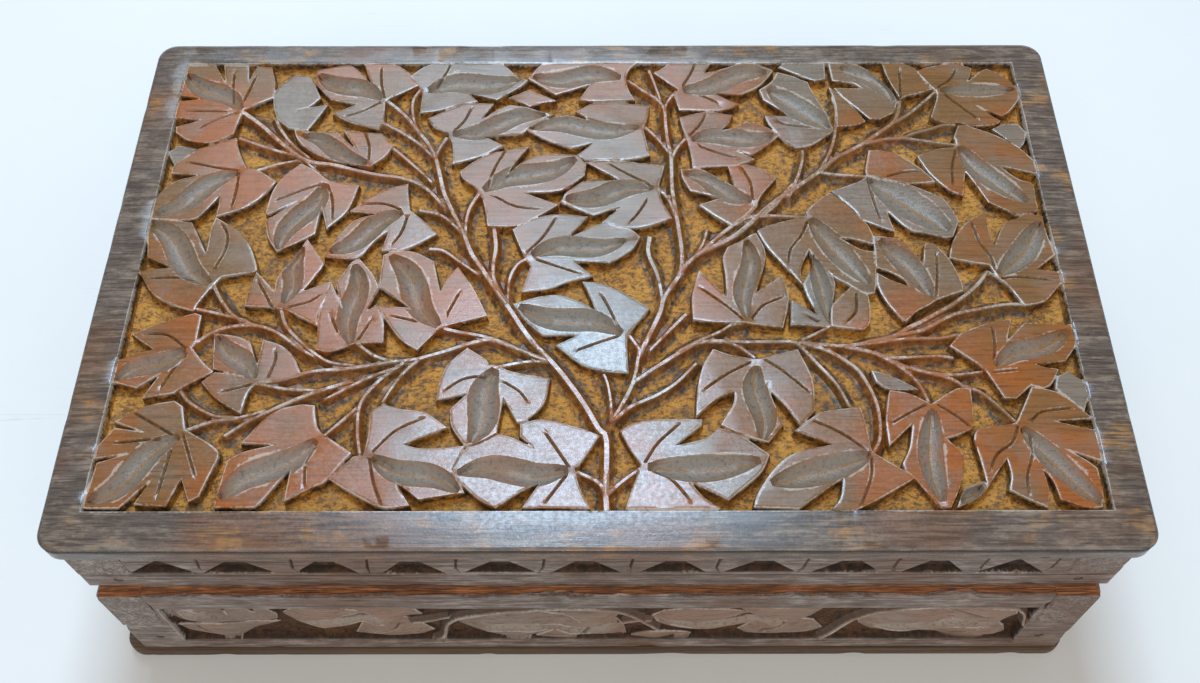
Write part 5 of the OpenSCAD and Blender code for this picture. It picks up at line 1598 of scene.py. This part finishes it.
    def soil(self, web: Web, place: Socket, patch: Socket, fine: Socket, speck: Socket) -> Socket:
        """The ochre ground with its dark gouges.

        Args:
            web: the material's web.
            place: the place on the piece.
            patch: a cloud of patches.
            fine: a fine cloud.
            speck: a finer one.

        Returns:
            The colour.
        """
        gouge = web.noise(web.stretched(place, (520, 1000, 1000)), 1.0, 4.0, 0.7, 0.4)
        soil = web.mix(web.step(fine, 0.34, 0.56, 0.15, 1.0), self.ground_dark, self.ground)
        soil = web.mix(web.step(patch, 0.46, 0.66, 0.0, 0.5), soil, self.ground_light)
        soil = web.mix(web.step(gouge, 0.49, 0.61, 0.0, 0.8), soil, self.ground_dark)
        return web.mix(web.step(speck, 0.55, 0.7, 0.0, 0.6), soil, self.ground_light)


@dataclass(frozen=True)
class PlainWood:
    """Uncarved wood: the inside of the box and its bottom."""

    name: str
    light: Colour = (0.30, 0.185, 0.10)
    dark: Colour = (0.13, 0.075, 0.04)
    turn: Point3 = (0.0, 0.0, 0.0)
    roughness: float = 0.62

    def make(self, groups: Groups) -> bpy.types.Material:
        """Makes the material from the shared effects."""
        material, web, shader, place = begin(self.name)
        turned = web.stretched(place, (1.0, 1.0, 1.0), self.turn)
        grain = groups.use(web, groups.grain, Place=turned)
        fibre = grain.outputs["Fibre"]
        colour = web.mix(grain.outputs["Bands"], self.light, self.dark)
        colour = web.mix(web.step(fibre, 0.4, 0.7, 0.0, 0.5), colour, self.dark)
        colour = web.mix(web.math("MULTIPLY", grain.outputs["Pores"], 0.6), colour, self.dark)
        web.put(colour, shader.inputs["Base Color"])
        rough = web.step(fibre, 0.2, 0.8, self.roughness - 0.06, self.roughness + 0.1)
        web.put(rough, shader.inputs["Roughness"])
        web.bump(shader, fibre, 0.0003, 0.4)
        return material


@dataclass(frozen=True)
class TornWood:
    """Torn, dry end fibres along the top of the front wall, rust brown."""

    name: str
    light: Colour = (0.66, 0.27, 0.11)
    mid: Colour = (0.42, 0.15, 0.055)
    dark: Colour = (0.13, 0.055, 0.025)

    def make(self) -> bpy.types.Material:
        """Makes the material."""
        material, web, shader, place = begin(self.name)
        threads = web.noise(web.stretched(place, (140, 2600, 1200)), 1.0, 4.0, 0.65, 0.4)
        colour = web.mix(web.step(threads, 0.35, 0.6), self.dark, self.mid)
        colour = web.mix(web.step(threads, 0.5, 0.72), colour, self.light)
        patch = web.step(web.noise(place, 70.0, 3.0), 0.5, 0.7, 0.0, 0.6)
        web.put(web.mix(patch, colour, self.dark), shader.inputs["Base Color"])
        shader.inputs["Roughness"].default_value = 0.72
        web.bump(shader, threads, 0.0004)
        return material


@dataclass(frozen=True)
class OldMetal:
    """Metal that has dulled: brass of the hinges, steel of the nails."""

    name: str
    bright: Colour
    dull: Colour
    metallic: float = 0.9
    roughness: float = 0.42

    def make(self) -> bpy.types.Material:
        """Makes the material."""
        material, web, shader, place = begin(self.name)
        spots = web.step(web.noise(place, 240.0, 5.0, 0.65), 0.42, 0.66)
        web.put(web.mix(spots, self.bright, self.dull), shader.inputs["Base Color"])
        rough = web.step(spots, 0.0, 1.0, self.roughness, self.roughness + 0.25)
        web.put(rough, shader.inputs["Roughness"])
        shader.inputs["Metallic"].default_value = self.metallic
        web.bump(shader, web.noise(place, 900.0, 3.0), 0.0002, 0.25)
        return material


@dataclass
class Finishes:
    """Every finish of the box, made once."""

    groups: Groups = field(default_factory=Groups)

    def __post_init__(self) -> None:
        """Makes the materials."""
        crossed = (0.0, 0.0, math.pi / 2)
        self.top = CarvedWood("carved lid").make(self.groups)
        weathered = CarvedWood(
            "carved front", face=(0.235, 0.175, 0.145), face_light=(0.38, 0.32, 0.285),
            face_brown=(0.19, 0.10, 0.06), red=(0.30, 0.185, 0.13), brown=(0.25, 0.18, 0.14),
            grey=(0.36, 0.30, 0.25), ground=(0.11, 0.05, 0.022), ground_light=(0.21, 0.10, 0.04),
            ground_dark=(0.035, 0.018, 0.01), slope=(0.075, 0.036, 0.02), roughness=0.52, gloss=0.4)
        self.front = weathered.make(self.groups)
        self.sides = replace(weathered, name="carved sides", turn=crossed).make(self.groups)
        self.torn = TornWood("torn top edge").make()
        self.inner = PlainWood("plain inside").make(self.groups)
        self.inner_sides = PlainWood("plain inside of the sides", turn=crossed).make(self.groups)
        bottom = PlainWood("bottom board", light=(0.15, 0.09, 0.05), dark=(0.06, 0.035, 0.02))
        self.bottom = bottom.make(self.groups)
        self.brass = OldMetal("aged brass", (0.42, 0.30, 0.13), (0.16, 0.11, 0.05)).make()
        self.steel = OldMetal("rusted steel", (0.22, 0.19, 0.17), (0.12, 0.06, 0.035), 0.7,
                              0.55).make()


# ---------------------------------------------------------------- the box


def rounded(low: Point, high: Point, radius: float, steps: int = 8) -> Line:
    """A rectangle with round corners.

    Args:
        low: its lower left corner.
        high: its upper right corner.
        radius: the corners' radius.
        steps: how many straight pieces make each corner.

    Returns:
        The outline, anticlockwise.
    """
    (x0, y0), (x1, y1) = low, high
    corners = ((x1 - radius, y1 - radius, 0), (x0 + radius, y1 - radius, 1),
               (x0 + radius, y0 + radius, 2), (x1 - radius, y0 + radius, 3))
    line = []
    for cx, cy, quarter in corners:
        for k in range(steps + 1):
            angle = (quarter + k / steps) * math.pi / 2
            line.append((cx + radius * math.cos(angle), cy + radius * math.sin(angle)))
    return tuple(line)


def fingered(half: float, shoulder: float, foot: float, finger: float, top: float,
             wide_below: bool) -> Line:
    """A board's outline with one finger at each end.

    Args:
        half: half its length over the fingers.
        shoulder: half its length between them.
        foot: its lower edge.
        finger: the height at which the joint steps.
        top: its upper edge.
        wide_below: whether the fingers are below the step.

    Returns:
        The outline, anticlockwise.
    """
    low, high = (half, shoulder) if wide_below else (shoulder, half)
    return ((-low, foot), (low, foot), (low, finger), (high, finger), (high, top), (-high, top),
            (-high, finger), (-low, finger))


def pocketed(line: Line, edge: float, deep: float, middle: float, half: float) -> Line:
    """A board's outline with the two hinge pockets in one of its long edges.

    Args:
        line: the outline, anticlockwise.
        edge: the height of the long edge.
        deep: the height of the pockets' bottoms.
        middle: how far from the centre each hinge is.
        half: half a pocket's length.

    Returns:
        The outline with its pockets.
    """
    out = []
    for a, b in zip(line, line[1:] + line[:1]):
        out.append(a)
        if a[1] == edge and b[1] == edge:
            way = 1 if b[0] > a[0] else -1
            for side in (-way, way):
                x0, x1 = side * middle - way * half, side * middle + way * half
                out += [(x0, edge), (x0, deep), (x1, deep), (x1, edge)]
    return tuple(out)


def stepped(low: Point, high: Point, inner_low: float, inner_high: float, finger: float) -> Line:
    """A side board's outline: between the cross pieces below, out to both faces above.

    Args:
        low: its front end and lower edge.
        high: its back end and upper edge.
        inner_low: where the front piece's inner face is.
        inner_high: where the back piece's is.
        finger: the height at which the joint steps.

    Returns:
        The outline, anticlockwise.
    """
    (x0, z0), (x1, z1) = low, high
    return ((inner_low, z0), (inner_high, z0), (inner_high, finger), (x1, finger), (x1, z1),
            (x0, z1), (x0, finger), (inner_low, finger))


def mirrored(line: Line) -> Line:
    """A line seen from behind, in its own order turned round."""
    return tuple((-x, y) for x, y in reversed(line))


@dataclass
class Lid:
    """The lid: the carved board and the four rails below it."""

    sizes: BoxSizes
    finishes: Finishes
    front_tips: tuple[float, ...] = (
        -102.5, -84.5, -64.0, -43.6, -23.2, -2.8, 17.5, 37.8, 58.2, 78.5, 97.0)
    front_ticks: tuple[float, ...] = (
        -93.3, -71.5, -54.0, -33.4, -13.0, 7.4, 27.6, 48.0, 69.0, 89.5, 106.0)
    side_tips: tuple[float, ...] = (-50.5, -30.3, -10.0, 10.2, 30.4, 50.6)
    side_ticks: tuple[float, ...] = (-60.5, -40.4, -20.2, 0.1, 20.3, 40.5, 60.5)
    rail_nails: Dents = Dents(((-114.6, 46.9), (114.6, 46.9)))

    def build(self) -> list[bpy.types.Object]:
        """Builds every piece of the lid."""
        return [self.top(), self.front_rail(), self.back_rail(), *self.side_rails()]

    def top(self) -> bpy.types.Object:
        """The board with the vine."""
        s = self.sizes
        drawn = s.drawn_y
        vine = Carving((-118.0, -68.4 + drawn), (118.0, 70.6 + drawn), VINE_LEAVES, VINE_STEMS,
                       shift=(0.0, drawn))
        outline = rounded((-s.lid_x, s.lid_front_y), (s.lid_x, s.lid_back_y), 5.0)
        board = Board("carved_lid_board", "lid", "lid_wood", Side.TOP, s.top_z, outline, s.lid_t,
                      ("lid_board",), (vine,), round_off=0.55, cushion=0.25, wear=0.25, coarse=2.3,
                      rim_wear_highlight=0.0, rim_painted_shade=1.0)
        return board.build(self.finishes.top, self.finishes.inner)

    def rail(self) -> Line:
        """The outline of the front and back rails."""
        s = self.sizes
        return fingered(s.rail_x, s.inner_x, s.rail_foot, s.rail_finger, s.rail_top, True)

    def front_rail(self) -> bpy.types.Object:
        """The front rail with its row of chips."""
        s = self.sizes
        cuts = (Chips(self.front_tips, self.front_ticks), self.rail_nails)
        rail = Board("carved_lid_front_rail", "lid", "lid_wood", Side.FRONT, -s.rail_front_y,
                     self.rail(), s.inner_front_y - s.rail_front_y, ("lid_front_rail",), cuts,
                     wear=0.7, coarse=2.2, seed=21)
        return rail.build(self.finishes.front, self.finishes.inner)

    def back_rail(self) -> bpy.types.Object:
        """The plain back rail with the hinges' pockets."""
        s = self.sizes
        pocket = s.rail_foot + s.leaf_t + 0.1
        outline = pocketed(self.rail(), s.rail_foot, pocket, s.hinge_x, s.hinge_half)
        rail = Board("lid_back_rail_board", "lid", "lid_wood", Side.BACK, s.back_y, outline,
                     s.back_y - s.inner_back_y, ("lid_back_rail",), (self.rail_nails,),
                     round_off=0.3, wear=0.3, coarse=3.5, seed=22, pocket_z=pocket,
                     pocket_edge=s.rail_foot + 0.02, pocket_deep=s.back_y - s.leaf_inner_y)
        return rail.build(self.finishes.front, self.finishes.inner)

    def side_rails(self) -> list[bpy.types.Object]:
        """The two side rails."""
        s = self.sizes
        side = stepped((s.rail_front_y, s.rail_foot), (s.back_y, s.rail_top), s.inner_front_y,
                       s.inner_back_y, s.rail_finger)
        chips = Chips(self.side_tips, self.side_ticks, ends=(-66.0, 66.0), clipped=(-60.0, 60.0),
                      seed=12)
        pieces = []
        for name, way, outline, seed in (("right", Side.RIGHT, side, 23),
                                         ("left", Side.LEFT, mirrored(side), 24)):
            rail = Board(f"carved_lid_{name}_rail", "lid", "lid_wood", way, s.rail_x, outline,
                         s.rail_x - s.inner_x, (f"lid_{name}_rail",), (chips,), wear=0.7,
                         coarse=2.2, seed=seed)
            pieces.append(rail.build(self.finishes.sides, self.finishes.inner_sides))
        return pieces


@dataclass
class Base:
    """The base: four walls on the bottom board."""

    sizes: BoxSizes
    finishes: Finishes
    wall_nails: Dents = Dents(((-114.6, 13.0), (114.6, 13.0)))
    foot_nails: tuple[Point, ...] = (
        *((x, y) for x in (-103.6, -34.53, 34.53, 103.6) for y in (-72.4, 69.3)),
        *((x, y) for x in (-116.1, 116.1) for y in (-59.4, -1.3, 56.8)))

    def build(self) -> list[bpy.types.Object]:
        """Builds every piece of the base."""
        return [self.front_wall(), self.back_wall(), *self.side_walls(), self.bottom()]

    def wall(self) -> Line:
        """The outline of the front and back walls."""
        s = self.sizes
        return fingered(s.base_x, s.inner_x, s.bottom_t, s.wall_finger, s.wall_top, True)

    @staticmethod
    def panel(half: float, leaves: tuple[Leaf, ...], stems: tuple[Stem, ...],
              **settings: object) -> Carving:
        """A wall's carved panel, as long as twice its half."""
        return Carving((-half, 9.3), (half, 33.7), leaves, stems, depth=2.8, spacing=1.2, skirt=0.8,
                       sunk=0.05, dome=2.3, sill=2.8, **settings)

    def front_wall(self) -> bpy.types.Object:
        """The carved front wall with its torn top edge."""
        s = self.sizes
        cuts = (self.panel(109.0, PANEL_LEAVES, PANEL_STEMS, seed=31), self.wall_nails)
        wall = Board("carved_front_wall", "base", "wall_wood", Side.FRONT, -s.base_front_y,
                     self.wall(), s.inner_front_y - s.base_front_y, ("base_front_wall",), cuts,
                     wear=1.0, coarse=2.3, seed=41, rim_wear_highlight=0.35, torn_above=s.wall_top)
        return wall.build(self.finishes.front, self.finishes.inner, self.finishes.torn)

    def back_wall(self) -> bpy.types.Object:
        """The plain back wall with the hinges' pockets."""
        s = self.sizes
        pocket = s.wall_top - s.leaf_t - 0.1
        outline = pocketed(self.wall(), s.wall_top, pocket, s.hinge_x, s.hinge_half)
        wall = Board("back_wall_board", "base", "wall_wood", Side.BACK, s.back_y, outline,
                     s.back_y - s.inner_back_y, ("base_back_wall",), (self.wall_nails,),
                     round_off=0.3, wear=0.3, coarse=3.5, seed=42, pocket_z=pocket,
                     pocket_edge=s.wall_top - 0.02, pocket_deep=s.back_y - s.leaf_inner_y)
        return wall.build(self.finishes.front, self.finishes.inner)

    def side_walls(self) -> list[bpy.types.Object]:
        """The two side walls, torn through at their front ends."""
        s = self.sizes
        side = stepped((s.base_front_y, s.bottom_t), (s.back_y, s.wall_top), s.inner_front_y,
                       s.inner_back_y, s.wall_finger)
        pieces = []
        for name, way, outline, seed, torn_span in (
                ("right", Side.RIGHT, side, 43, (-80.0, -73.5)),
                ("left", Side.LEFT, mirrored(side), 44, (73.5, 80.0))):
            panel = self.panel(60.0, PANEL_LEAVES[2:5], PANEL_STEMS[:1], shift=(10.5, 0.0),
                               stretch=0.914, seed=seed)
            wall = Board(f"carved_{name}_wall", "base", "wall_wood", way, s.base_x, outline,
                         s.base_x - s.inner_x, (f"base_{name}_wall",), (panel,), round_off=0.6,
                         wear=0.7, coarse=2.3, seed=seed, torn_above=s.wall_top, torn_deep=99.0,
                         torn_span=torn_span)
            pieces.append(wall.build(self.finishes.sides, self.finishes.inner_sides,
                                     self.finishes.torn))
        return pieces

    def bottom(self) -> bpy.types.Object:
        """The bottom board, seen from below with its nails."""
        s = self.sizes
        feet = Dents(tuple((x, -y) for x, y in self.foot_nails))
        outline = rounded((-126.8, -76.8), (124.2, 79.2), 5.0)
        board = Board("bottom_board_worn", "base", "bottom_wood", Side.BELOW, 0.0, outline,
                      s.bottom_t, ("bottom_board",), (feet,), round_off=0.6, wear=0.9, coarse=4.0,
                      seed=45)
        return board.build(self.finishes.bottom, self.finishes.bottom)


@dataclass
class Heads:
    """Equal nail or screw heads, laid by Geometry Nodes from one head."""

    name: str
    body: str
    material_slot: str
    replaces: str
    places: tuple[tuple[Point3, Point3], ...]
    radius: float = 1.1
    slotted: bool = False

    def head(self) -> bpy.types.Object:
        """One head, looking up, its rim just below the middle of its crown."""
        size = self.radius
        rim = np.array(rounded((-size, -size), (size, size), 0.999 * size, 4))
        sheet = Sheet(rim)
        sheet.line(rim, True)
        sheet.line(0.72 * rim, True)
        for side in ((-0.3, -0.24, 0.24, 0.3) if self.slotted else ()):
            sheet.line(np.array([(-0.9 * size, side), (0.0, side), (0.9 * size, side)]), False)
        sheet.points.append(np.array([(0.0, 0.0)]))
        points, faces = sheet.triangles()
        away = np.hypot(*points.T) / size
        high = -0.04 - 0.2 * away**2
        if self.slotted:
            high = np.where((np.abs(points[:, 1]) < 0.27) & (away < 0.95), -0.6, -0.04)
        ring = border(faces)
        low = np.arange(len(ring)) + len(points)
        below = np.column_stack([points[ring], np.full(len(ring), -0.9)])
        shapes = [*map(tuple, faces.tolist()), *strip(ring, low), tuple(low[::-1].tolist())]
        mesh = bpy.data.meshes.new("head")
        places = np.concatenate([np.column_stack([points, high]), below]) * MM
        mesh.from_pydata(places.tolist(), [], shapes)
        shade(mesh, 30.0)
        return bpy.data.objects.new("head", mesh)

    @staticmethod
    def tree() -> bpy.types.NodeTree:
        """The nodes: one head at each point, turned to its facing and rolled by chance."""
        tree = bpy.data.node_groups.new("heads", "GeometryNodeTree")
        for label, way, kind in (("Places", "INPUT", "Geometry"), ("Head", "INPUT", "Object"),
                                 ("Finish", "INPUT", "Material"), ("Seed", "INPUT", "Int"),
                                 ("Heads", "OUTPUT", "Geometry")):
            tree.interface.new_socket(name=label, in_out=way, socket_type="NodeSocket" + kind)
        web = Web(tree)
        start, end = web.add("NodeGroupInput"), web.add("NodeGroupOutput")
        one = web.add("GeometryNodeObjectInfo")
        web.put(start.outputs["Head"], one.inputs["Object"])
        facing = web.add("GeometryNodeInputNamedAttribute", data_type="FLOAT_VECTOR")
        facing.inputs["Name"].default_value = "facing"
        turn = web.add("FunctionNodeAlignRotationToVector", axis="Z")
        web.put(facing.outputs["Attribute"], turn.inputs["Vector"])
        laid = web.add("GeometryNodeInstanceOnPoints")
        web.put(start.outputs["Places"], laid.inputs["Points"])
        web.put(one.outputs["Geometry"], laid.inputs["Instance"])
        web.put(turn.outputs[0], laid.inputs["Rotation"])
        roll = web.add("FunctionNodeRandomValue", data_type="FLOAT")
        web.put(start.outputs["Seed"], roll.inputs["Seed"])
        roll.inputs["Max"].default_value = math.pi
        about = web.add("ShaderNodeCombineXYZ")
        web.put(next(o for o in roll.outputs if o.enabled), about.inputs["Z"])
        rolled = web.add("GeometryNodeRotateInstances")
        web.put(laid.outputs[0], rolled.inputs["Instances"])
        web.put(about.outputs[0], rolled.inputs["Rotation"])
        real = web.add("GeometryNodeRealizeInstances")
        web.put(rolled.outputs[0], real.inputs[0])
        coat = web.add("GeometryNodeSetMaterial")
        web.put(real.outputs[0], coat.inputs["Geometry"])
        web.put(start.outputs["Finish"], coat.inputs["Material"])
        web.put(coat.outputs[0], end.inputs[0])
        return tree

    def build(self, tree: bpy.types.NodeTree, finish: bpy.types.Material,
              seed: int) -> bpy.types.Object:
        """Makes the heads.

        Args:
            tree: the nodes that lay them.
            finish: their finish.
            seed: the seed of their rolls.

        Returns:
            The heads as one piece, riding on their body in place of their solids.
        """
        mesh = bpy.data.meshes.new("places")
        mesh.from_pydata([tuple(MM * c for c in place) for place, _ in self.places], [], [])
        facing = mesh.attributes.new("facing", "FLOAT_VECTOR", "POINT")
        ways = np.array([way for _, way in self.places], dtype=np.float32)
        facing.data.foreach_set("vector", ways.ravel())
        points = bpy.data.objects.new("places", mesh)
        head = self.head()
        for item in (points, head):
            bpy.context.collection.objects.link(item)
        modifier = points.modifiers.new("heads", "NODES")
        modifier.node_group = tree
        for socket in tree.interface.items_tree:
            value = {"Head": head, "Finish": finish, "Seed": seed}.get(socket.name)
            if value is not None:
                modifier[socket.identifier] = value
        graph = bpy.context.evaluated_depsgraph_get()
        made = bpy.data.meshes.new_from_object(points.evaluated_get(graph))
        points.modifiers.remove(modifier)
        for item in (points, head):
            bpy.data.objects.remove(item)
        made.name = self.name
        piece = bpy.data.objects.new(self.name, made)
        bpy.context.collection.objects.link(piece)
        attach(piece, self.body)
        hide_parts(self.replaces)
        LOG.info("%s: %d heads", self.name, len(self.places))
        return piece


@dataclass
class Metalwork:
    """The hinges, which keep their solids, and the heads of the nails and screws."""

    frame: dict
    sizes: BoxSizes
    finishes: Finishes
    nail_x: float = 114.6
    wall_nail_z: float = 13.0
    rail_nail_z: float = 46.9
    nail_sunk: float = 0.3
    screw_y: float = 71.4
    screw_pitch: float = 15.0

    def build(self) -> None:
        """Gives each hinge its finish and makes the heads."""
        for name, node in self.frame["nodes"].items():
            if "leaf" in name or "pin" in name:
                for slot in node.material_slots:
                    slot.material = self.finishes.brass
        s, tree, steel, brass = self.sizes, Heads.tree(), self.finishes.steel, self.finishes.brass
        for body, front_y, z in (("base", s.base_front_y, self.wall_nail_z),
                                 ("lid", s.rail_front_y, self.rail_nail_z)):
            places = tuple(((side * self.nail_x, y - self.nail_sunk * way, z), (0.0, way, 0.0))
                           for side in (-1, 1) for y, way in ((front_y, -1.0), (s.back_y, 1.0)))
            nails = Heads(f"{body}_nail_heads", body, "nail_steel", f"{body}_corner_nails", places)
            nails.build(tree, steel, seed=4)
        feet = tuple(((x, y, self.nail_sunk), (0.0, 0.0, -1.0)) for x, y in Base.foot_nails)
        nails = Heads("foot_nail_heads", "base", "nail_steel", "bottom_board_nails", feet)
        nails.build(tree, steel, seed=7)
        spots = [way * s.hinge_x + side * self.screw_pitch / 2
                 for way in (-1, 1) for side in (-1, 1)]
        for body, z, up in (("base", s.wall_top, 1.0), ("lid", s.rail_foot, -1.0)):
            places = tuple(((x, self.screw_y, z), (0.0, 0.0, up)) for x in spots)
            screws = Heads(f"{body}_screw_heads", body, "hinge_brass", f"hinge_{body}_screws",
                           places, radius=1.62, slotted=True)
            screws.build(tree, brass, seed=11)


# ---------------------------------------------------------------- the setting


@dataclass
class Setting:
    """The pale floor, the soft lamps and the camera."""

    floor: Colour = (0.81, 0.815, 0.81)
    scratch: Colour = (0.45, 0.42, 0.38)
    lens: float = 37.467
    eye: Point3 = (0.0028, -0.1833, 0.3310)
    down: float = 58.39

    def build(self) -> None:
        """Builds the setting."""
        self.lay_floor()
        self.hang_lamps()
        self.place_camera()

    def lay_floor(self) -> None:
        """Lays the floor."""
        mesh = bpy.data.meshes.new("floor")
        mesh.from_pydata([(-4, -4, 0), (4, -4, 0), (4, 4, 0), (-4, 4, 0)], [], [(0, 1, 2, 3)])
        floor = bpy.data.objects.new("floor", mesh)
        bpy.context.collection.objects.link(floor)
        material, web, shader, place = begin("pale floor")
        cloud = web.step(web.noise(place, 9.0, 6.0, 0.65), 0.3, 0.7, 0.0, 0.55)
        paint = web.mix(cloud, self.floor, tuple(0.955 * part for part in self.floor))
        scratch = web.noise(web.stretched(place, (18, 420, 1)), 1.0, 3.0, 0.6, 1.4)
        where = web.step(web.noise(place, 14.0, 2.0), 0.5, 0.62)
        thin = web.math("MULTIPLY", web.step(scratch, 0.66, 0.72), where)
        paint = web.mix(web.math("MULTIPLY", thin, 0.3), paint, self.scratch)
        web.put(paint, shader.inputs["Base Color"])
        shader.inputs["Roughness"].default_value = 0.6
        mesh.materials.append(material)

    def hang_lamps(self) -> None:
        """Hangs a broad window behind and a soft fill in front."""
        lamps = (
            ("window", (-0.035, 0.385, 0.965), 6.8, 0.30, 0.30, (0.62, 0.81, 1.0)),
            ("low window", (-0.14, 0.70, 0.85), 2.9, 0.50, 0.34, (0.72, 0.87, 1.0)),
            ("front fill", (0.1, -1.0, 1.1), 9.5, 1.5, 0.9, (1.0, 0.95, 0.88)),
        )
        for name, place, power, wide, high, tint in lamps:
            lamp = bpy.data.lights.new(name, "AREA")
            lamp.shape = "RECTANGLE"
            lamp.size, lamp.size_y, lamp.energy, lamp.color = wide, high, power, tint
            item = bpy.data.objects.new(name, lamp)
            item.location = place
            item.rotation_euler = (-Vector(place)).to_track_quat("-Z", "Y").to_euler()
            bpy.context.collection.objects.link(item)
        world = bpy.data.worlds.new("room")
        bpy.context.scene.world = world
        world.use_nodes = True
        world.node_tree.nodes["Background"].inputs["Color"].default_value = (1.0, 0.985, 0.965, 1.0)
        world.node_tree.nodes["Background"].inputs["Strength"].default_value = 0.31

    def place_camera(self) -> None:
        """Places the camera where the photograph was taken from."""
        camera = bpy.data.cameras.new("camera")
        camera.lens, camera.sensor_width = self.lens, 36.0
        camera.shift_x, camera.shift_y = -0.00925, -0.0014
        camera.clip_start = 0.01
        item = bpy.data.objects.new("camera", camera)
        item.location = self.eye
        item.rotation_euler = (math.radians(90 - self.down), 0.0, math.radians(-0.1))
        bpy.context.collection.objects.link(item)
        bpy.context.scene.camera = item


def main() -> None:
    """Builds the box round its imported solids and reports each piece."""
    logging.basicConfig(level=logging.INFO, format="%(name)s: %(message)s")
    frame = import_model()
    bpy.context.scene.view_settings.view_transform = "Standard"
    sizes, finishes = BoxSizes(), Finishes()
    Lid(sizes, finishes).build()
    Base(sizes, finishes).build()
    Metalwork(frame, sizes, finishes).build()
    Setting().build()


if __name__ == "__main__":
    main()
